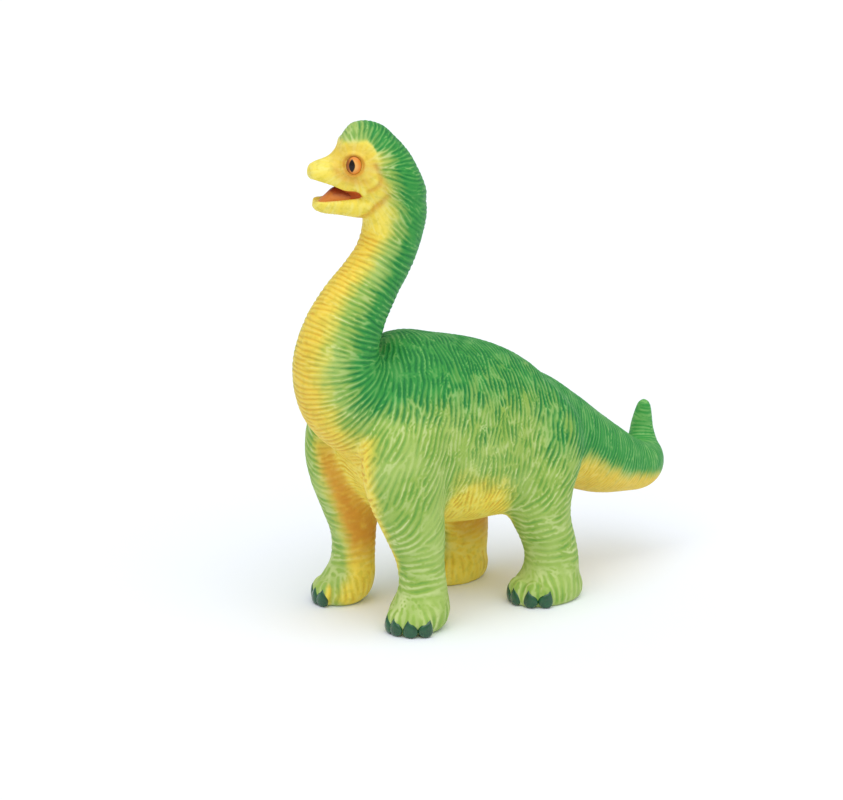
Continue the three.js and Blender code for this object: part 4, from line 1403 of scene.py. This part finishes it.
def eyeball(name, side, radius, bulge, finish):
    """A rounded eye, flattened to its bulge, that looks out to one side."""
    gaze = unit(np.array((GAZE[0], side, GAZE[1])))
    across = unit(np.cross(gaze, (0, 0, 1)) * side)
    up = np.cross(across, gaze) * side
    lean = np.linspace(0.03, math.pi - 0.03, 20)[:, None]
    turn = even_angles(40)
    a, b = np.sin(lean) * np.cos(turn), np.sin(lean) * np.sin(turn)
    c = np.broadcast_to(np.cos(lean), a.shape)
    middle = EYE_PLACE * (1, side, 1) - gaze * EYE_SET_BACK
    rings = middle + radius * (EYE_STRETCH[0] * a[..., None] * across + EYE_STRETCH[1] * b[..., None] * up)
    rings = rings + bulge * c[..., None] * gaze
    attributes = [(label, np.append(values, (0, 0))) for label, values in (("across", a), ("up", b))]
    piece = new_object(name, *loft(from_head(rings) + MODEL_ORIGIN), attributes)
    piece.data.materials.append(finish)
    return piece


def look_at(item, place, target):
    item.location = place
    item.rotation_euler = (Vector(target) - Vector(place)).to_track_quat("-Z", "Y").to_euler()


def set_camera(scene, stage):
    """Aim a camera at the figure from its turn, lift and distance."""
    turn, lift = stage.camera_turn, stage.camera_lift
    out = np.array((math.cos(turn) * math.cos(lift), math.sin(turn) * math.cos(lift), math.sin(lift)))
    right = np.array((-math.sin(turn), math.cos(turn), 0))
    middle = MODEL_ORIGIN + np.array((0, 0, stage.aim_height))
    camera = scene.camera = linked("camera", bpy.data.cameras.new("camera"))
    look_at(camera, (middle + stage.camera_distance * out).tolist(),
            (middle - stage.aim_left * right).tolist())
    camera.data.lens = stage.focal_length
    camera.data.sensor_width = SENSOR_WIDTH


def lay_floor(finish):
    mesh = bpy.data.meshes.new("floor")
    corners = [(x * FLOOR_REACH, y * FLOOR_REACH, 0) for x, y in ((-1, -1), (1, -1), (1, 1), (-1, 1))]
    mesh.from_pydata(corners, [], [(0, 1, 2, 3)])
    mesh.materials.append(finish)
    linked("floor", mesh)


def light_stage(scene, stage):
    """One wide soft lamp in a white room, which the camera sees pure white."""
    lamp = bpy.data.lights.new("soft_key", "SUN")
    lamp.energy = stage.lamp_strength
    lamp.angle = stage.lamp_angle
    look_at(linked("soft_key", lamp), LAMP_WAY, (0, 0, 0))
    world = scene.world = bpy.data.worlds.new("white_room")
    world.use_nodes = True
    tree = Tree(world.node_tree)
    seen = tree.add("LightPath").outputs["Is Camera Ray"]
    shader = world.node_tree.nodes["Background"]
    shader.inputs["Color"].default_value = (1, 1, 1, 1)
    white = tree.maths("MULTIPLY_ADD", seen, 1 - stage.room_strength, stage.room_strength)
    tree.give(shader.inputs["Strength"], white)


def fitted(piece, slot):
    """Let a finished piece move with the figure. The slot is not used."""
    if not piece.data.polygons:
        raise RuntimeError(piece.name + " came out empty")
    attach(piece, "root")
    return piece


# Settings

def paint_property(name, description, red, green, blue):
    return bpy.props.FloatVectorProperty(name=name, description=description, subtype="COLOR", size=4,
                                         min=0, max=1, default=colour(red, green, blue))


def number_property(name, description, default, **options):
    return bpy.props.FloatProperty(name=name, description=description, default=default, min=0, **options)


def length_property(name, description, default):
    return number_property(name, description, default, unit="LENGTH", precision=4)


def angle_property(name, description, degrees):
    return number_property(name, description, math.radians(degrees), subtype="ANGLE")


class SkinSettings(bpy.types.PropertyGroup):
    """Folds and paints of the moulded skin."""
    voxel: length_property("Skin step", "Width of the skin's smallest squares", 0.4 * MM)
    pitch_scale: number_property("Fold spacing", "Spacing of the folds against the usual one", 1.0, max=2)
    depth_scale: number_property("Fold depth", "Depth of the folds against the usual one", 1.0, max=2)
    roughness: number_property("Roughness", "Roughness of the sprayed vinyl", 0.5, max=1)
    # Crests and creases of the sides: partly dry-brush and wash, partly painted highlight on the crests and
    # painted shade in the creases
    side_crest: paint_property("Side crests", "Brushed on the folds of the flanks", 200, 214, 146)
    side_flank: paint_property("Sides", "Sprayed on the flanks and legs", 148, 180, 80)
    side_crease: paint_property("Side creases", "Washed into the folds of the flanks", 112, 162, 66)
    side_patches: paint_property("Pale patches", "Dusted on the flanks and legs", 176, 200, 110)
    # Crests and creases of the back: partly dry-brush and wash, partly painted highlight on the crests and
    # painted shade in the creases
    back_crest: paint_property("Back crests", "Brushed on the folds of the back", 120, 182, 98)
    back_flank: paint_property("Back", "Sprayed on the back and the nape", 54, 148, 64)
    back_crease: paint_property("Back creases", "Washed into the folds of the back", 26, 122, 56)
    # Crests and creases of the underside: partly dry-brush and wash, partly painted highlight on the crests
    # and painted shade in the creases
    under_crest: paint_property("Underside crests", "Brushed on the throat's folds", 242, 229, 120)
    under_flank: paint_property("Underside", "Sprayed on the face, throat and belly", 240, 218, 80)
    under_crease: paint_property("Underside creases", "Washed into the throat's folds", 220, 182, 56)
    under_mottle: paint_property("Mottle", "Flecks on the face and underside", 204, 192, 64)
    # Orange paint round the eyes, and painted shade in the face's creases, under the throat and between the
    # legs
    orange_and_shade: paint_property("Rubbed orange", "Rubbed round the eyes and inside the legs", 210, 146, 44)
    gums: paint_property("Gums", "Brushed inside the lips", 196, 96, 40)


class ClawSettings(bpy.types.PropertyGroup):
    """Size, seat and colour of the claws."""
    half_sizes: bpy.props.FloatVectorProperty(
        name="Half sizes", description="Half thickness, width and height of a claw", unit="LENGTH",
        precision=4, min=0, default=(0.9 * MM, 2.9 * MM, 3.6 * MM))
    out_from_toe: length_property("Out from toe", "From the toe's middle out to the claw", 3.55 * MM)
    below_toe: length_property("Below toe", "From the toe's middle down to the claw's", 1.0 * MM)
    enamel: paint_property("Enamel", "Dark green of the claws", 16, 84, 48)


class EyeSettings(bpy.types.PropertyGroup):
    """Size and colours of the eyes."""
    radius: length_property("Radius", "Radius of the eye in its lids", EYE_RADIUS)
    bulge: length_property("Bulge", "How far the eye rounds out", 1.7 * MM)
    iris: paint_property("Iris", "Main colour of the iris", 226, 138, 44)
    # Painted highlight: the paler iris beside the pupil
    iris_painted_highlight: paint_property("Inner iris", "Iris beside the pupil", 240, 176, 92)
    # Also the painted shadow of the lids round the eye's rim
    iris_dark: paint_property("Shaded iris", "Iris towards the beak and its rim", 150, 84, 32)
    pupil: paint_property("Pupil", "Slit of the eye", 26, 14, 8)


class MouthSettings(bpy.types.PropertyGroup):
    """Size and colours of the lining between the jaws."""
    back: length_property("Back", "From the head's middle forward to the throat", 8 * MM)
    length: length_property("Length", "Length of the lining", 18 * MM)
    drop: length_property("Drop", "How far the lining reaches below the head's middle", 8 * MM)
    depth: length_property("Depth", "Height of the lining", 8.4 * MM)
    half_width: length_property("Half width", "Half the width of the lining", 4.9 * MM)
    front: paint_property("Front", "Lining behind the lips", 226, 140, 60)
    # Painted shade: the lining darkens to this colour towards the roof and the back of the mouth
    throat: paint_property("Throat", "Lining in the depth of the mouth", 156, 70, 32)


class StageSettings(bpy.types.PropertyGroup):
    """Camera, light and floor."""
    camera_turn: angle_property("Camera turn", "Turn of the camera from the nose", 53.5)
    camera_lift: angle_property("Camera lift", "Lift of the camera", 15.4)
    camera_distance: length_property("Camera distance", "From the camera to the figure", 1.3)
    aim_height: length_property("Aim height", "Height that the camera looks at", 80 * MM)
    aim_left: length_property("Aim left", "How far left of the figure the camera looks", 9.37 * MM)
    focal_length: number_property("Lens", "Focal length in millimetres", 145.2)
    lamp_strength: number_property("Lamp", "Strength of the soft lamp", 1.8)
    lamp_angle: angle_property("Lamp size", "Angle that the soft lamp fills", 75)
    room_strength: number_property("Room", "Strength of the light from all round", 0.62)
    floor: paint_property("Floor", "Colour of the floor", 244, 248, 255)


# Operators

class FIGURE_OT_mould_skin(bpy.types.Operator):
    """Mould the whole skin, fold it, part it at the seams and spray it"""
    bl_idname = "figure.mould_skin"
    bl_label = "Mould Skin"

    def execute(self, context):
        settings = context.scene.figure_skin
        skin, survey, fold, shade = folded_skin(settings.voxel, settings.pitch_scale, settings.depth_scale)
        a, b, c, d = (skin.points[skin.quads[:, corner]] for corner in range(4))
        at_faces = Survey((a + b + c + d) / 4, unit(np.cross(c - a, d - b)))
        labels = largest_patches(skin.quads, at_faces.pieces(), len(skin.points))
        lined = mouth_mask(survey.face) * (survey.above_seam > 0)
        attributes = {"fold": fold, "shade": shade, "lined": lined, "dark": survey.dark_paint(),
                      "yellow": survey.yellow_paint(), "tan": survey.orange_paint_and_shade()}
        skin.points[:, 2] = np.maximum(skin.points[:, 2], 0)
        skin.points += MODEL_ORIGIN
        normals = skin.normals()
        material = vinyl_material(settings)
        for number, (name, slot) in enumerate(MOULDINGS):
            inward = HEAD_FAN_DEPTH if slot in ("head_vinyl", "jaw_vinyl") else FAN_DEPTH
            points, faces, values, corner_normals = skin.parted(labels, number, normals, attributes, inward)
            piece = new_object(name + "_skin", points, faces, values, corner_normals)
            piece.data.materials.append(material)
            fitted(piece, slot)
            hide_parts(name)
        return {"FINISHED"}


class FIGURE_OT_set_claws(bpy.types.Operator):
    """Set the enamelled claws on the toes of all four feet"""
    bl_idname = "figure.set_claws"
    bl_label = "Set Claws"

    def execute(self, context):
        settings = context.scene.figure_claws
        finish = claw_material(tuple(settings.enamel))
        tree = claw_tree()
        claw = new_object("claw", *loft(nail_rings() * np.array(settings.half_sizes)))
        for leg in LEGS:
            toes = toe_points(leg, settings.out_from_toe, settings.below_toe)
            mesh = grown(toes, tree, {"Claw": claw, "Finish": finish})
            mesh.shade_smooth()
            fitted(linked(leg.name + "_claws", mesh), "leg_vinyl")
        bpy.data.objects.remove(claw)
        return {"FINISHED"}


class FIGURE_OT_paint_eyes(bpy.types.Operator):
    """Set both eyes in their lids and paint them"""
    bl_idname = "figure.paint_eyes"
    bl_label = "Paint Eyes"

    def execute(self, context):
        settings = context.scene.figure_eyes
        finish = eye_material(settings)
        for name, side in (("left_eye", 1), ("right_eye", -1)):
            fitted(eyeball(name, side, settings.radius, settings.bulge, finish), "head_vinyl")
        return {"FINISHED"}


class FIGURE_OT_line_mouth(bpy.types.Operator):
    """Line the mouth between the jaws"""
    bl_idname = "figure.line_mouth"
    bl_label = "Line Mouth"

    def execute(self, context):
        settings = context.scene.figure_mouth
        lining = LyingBody(MOUTH_SHARES, settings.back, 1, settings.length, -settings.drop, settings.depth,
                           settings.half_width)
        local, faces = loft(lining.rings(sides=40, count=40))
        # The deep attribute carries painted shade, darker towards the roof and the back of the mouth
        level = local[:, 2] - LINING_SLOPE * (local[:, 0] - LINING_MIDDLE)
        piece = new_object("mouth_lining", from_head(local) + MODEL_ORIGIN, faces,
                           [("deep", smooth_step(*LINING_LEVELS, level))])
        piece.data.materials.append(mouth_material(settings))
        fitted(piece, "jaw_vinyl")
        return {"FINISHED"}


class FIGURE_OT_set_stage(bpy.types.Operator):
    """Lay the pale floor and set the camera and the soft light"""
    bl_idname = "figure.set_stage"
    bl_label = "Set Stage"

    def execute(self, context):
        scene, settings = context.scene, context.scene.figure_stage
        set_camera(scene, settings)
        lay_floor(floor_material(tuple(settings.floor)))
        light_stage(scene, settings)
        scene.view_settings.view_transform = "Standard"
        return {"FINISHED"}


class FIGURE_PT_figure(bpy.types.Panel):
    """Lists the figure's pieces and their settings"""
    bl_idname = "FIGURE_PT_figure"
    bl_label = "Toy Dinosaur Figure"
    bl_space_type = "VIEW_3D"
    bl_region_type = "UI"
    bl_category = "Figure"

    def draw(self, context):
        for name, _, operator in PARTS:
            box = self.layout.box()
            box.operator(operator.bl_idname)
            settings = getattr(context.scene, name)
            for key in settings.__annotations__:
                box.prop(settings, key)


PARTS = (
    ("figure_skin", SkinSettings, FIGURE_OT_mould_skin),
    ("figure_claws", ClawSettings, FIGURE_OT_set_claws),
    ("figure_eyes", EyeSettings, FIGURE_OT_paint_eyes),
    ("figure_mouth", MouthSettings, FIGURE_OT_line_mouth),
    ("figure_stage", StageSettings, FIGURE_OT_set_stage),
)


def register():
    for name, settings, operator in PARTS:
        bpy.utils.register_class(settings)
        bpy.utils.register_class(operator)
        setattr(bpy.types.Scene, name, bpy.props.PointerProperty(type=settings))
    bpy.utils.register_class(FIGURE_PT_figure)


def unregister():
    bpy.utils.unregister_class(FIGURE_PT_figure)
    for name, settings, operator in reversed(PARTS):
        delattr(bpy.types.Scene, name)
        bpy.utils.unregister_class(operator)
        bpy.utils.unregister_class(settings)


def main():
    register()
    bpy.ops.figure.mould_skin()
    bpy.ops.figure.set_claws()
    bpy.ops.figure.paint_eyes()
    bpy.ops.figure.line_mouth()
    bpy.ops.figure.set_stage()


if __name__ == "__main__":
    main()
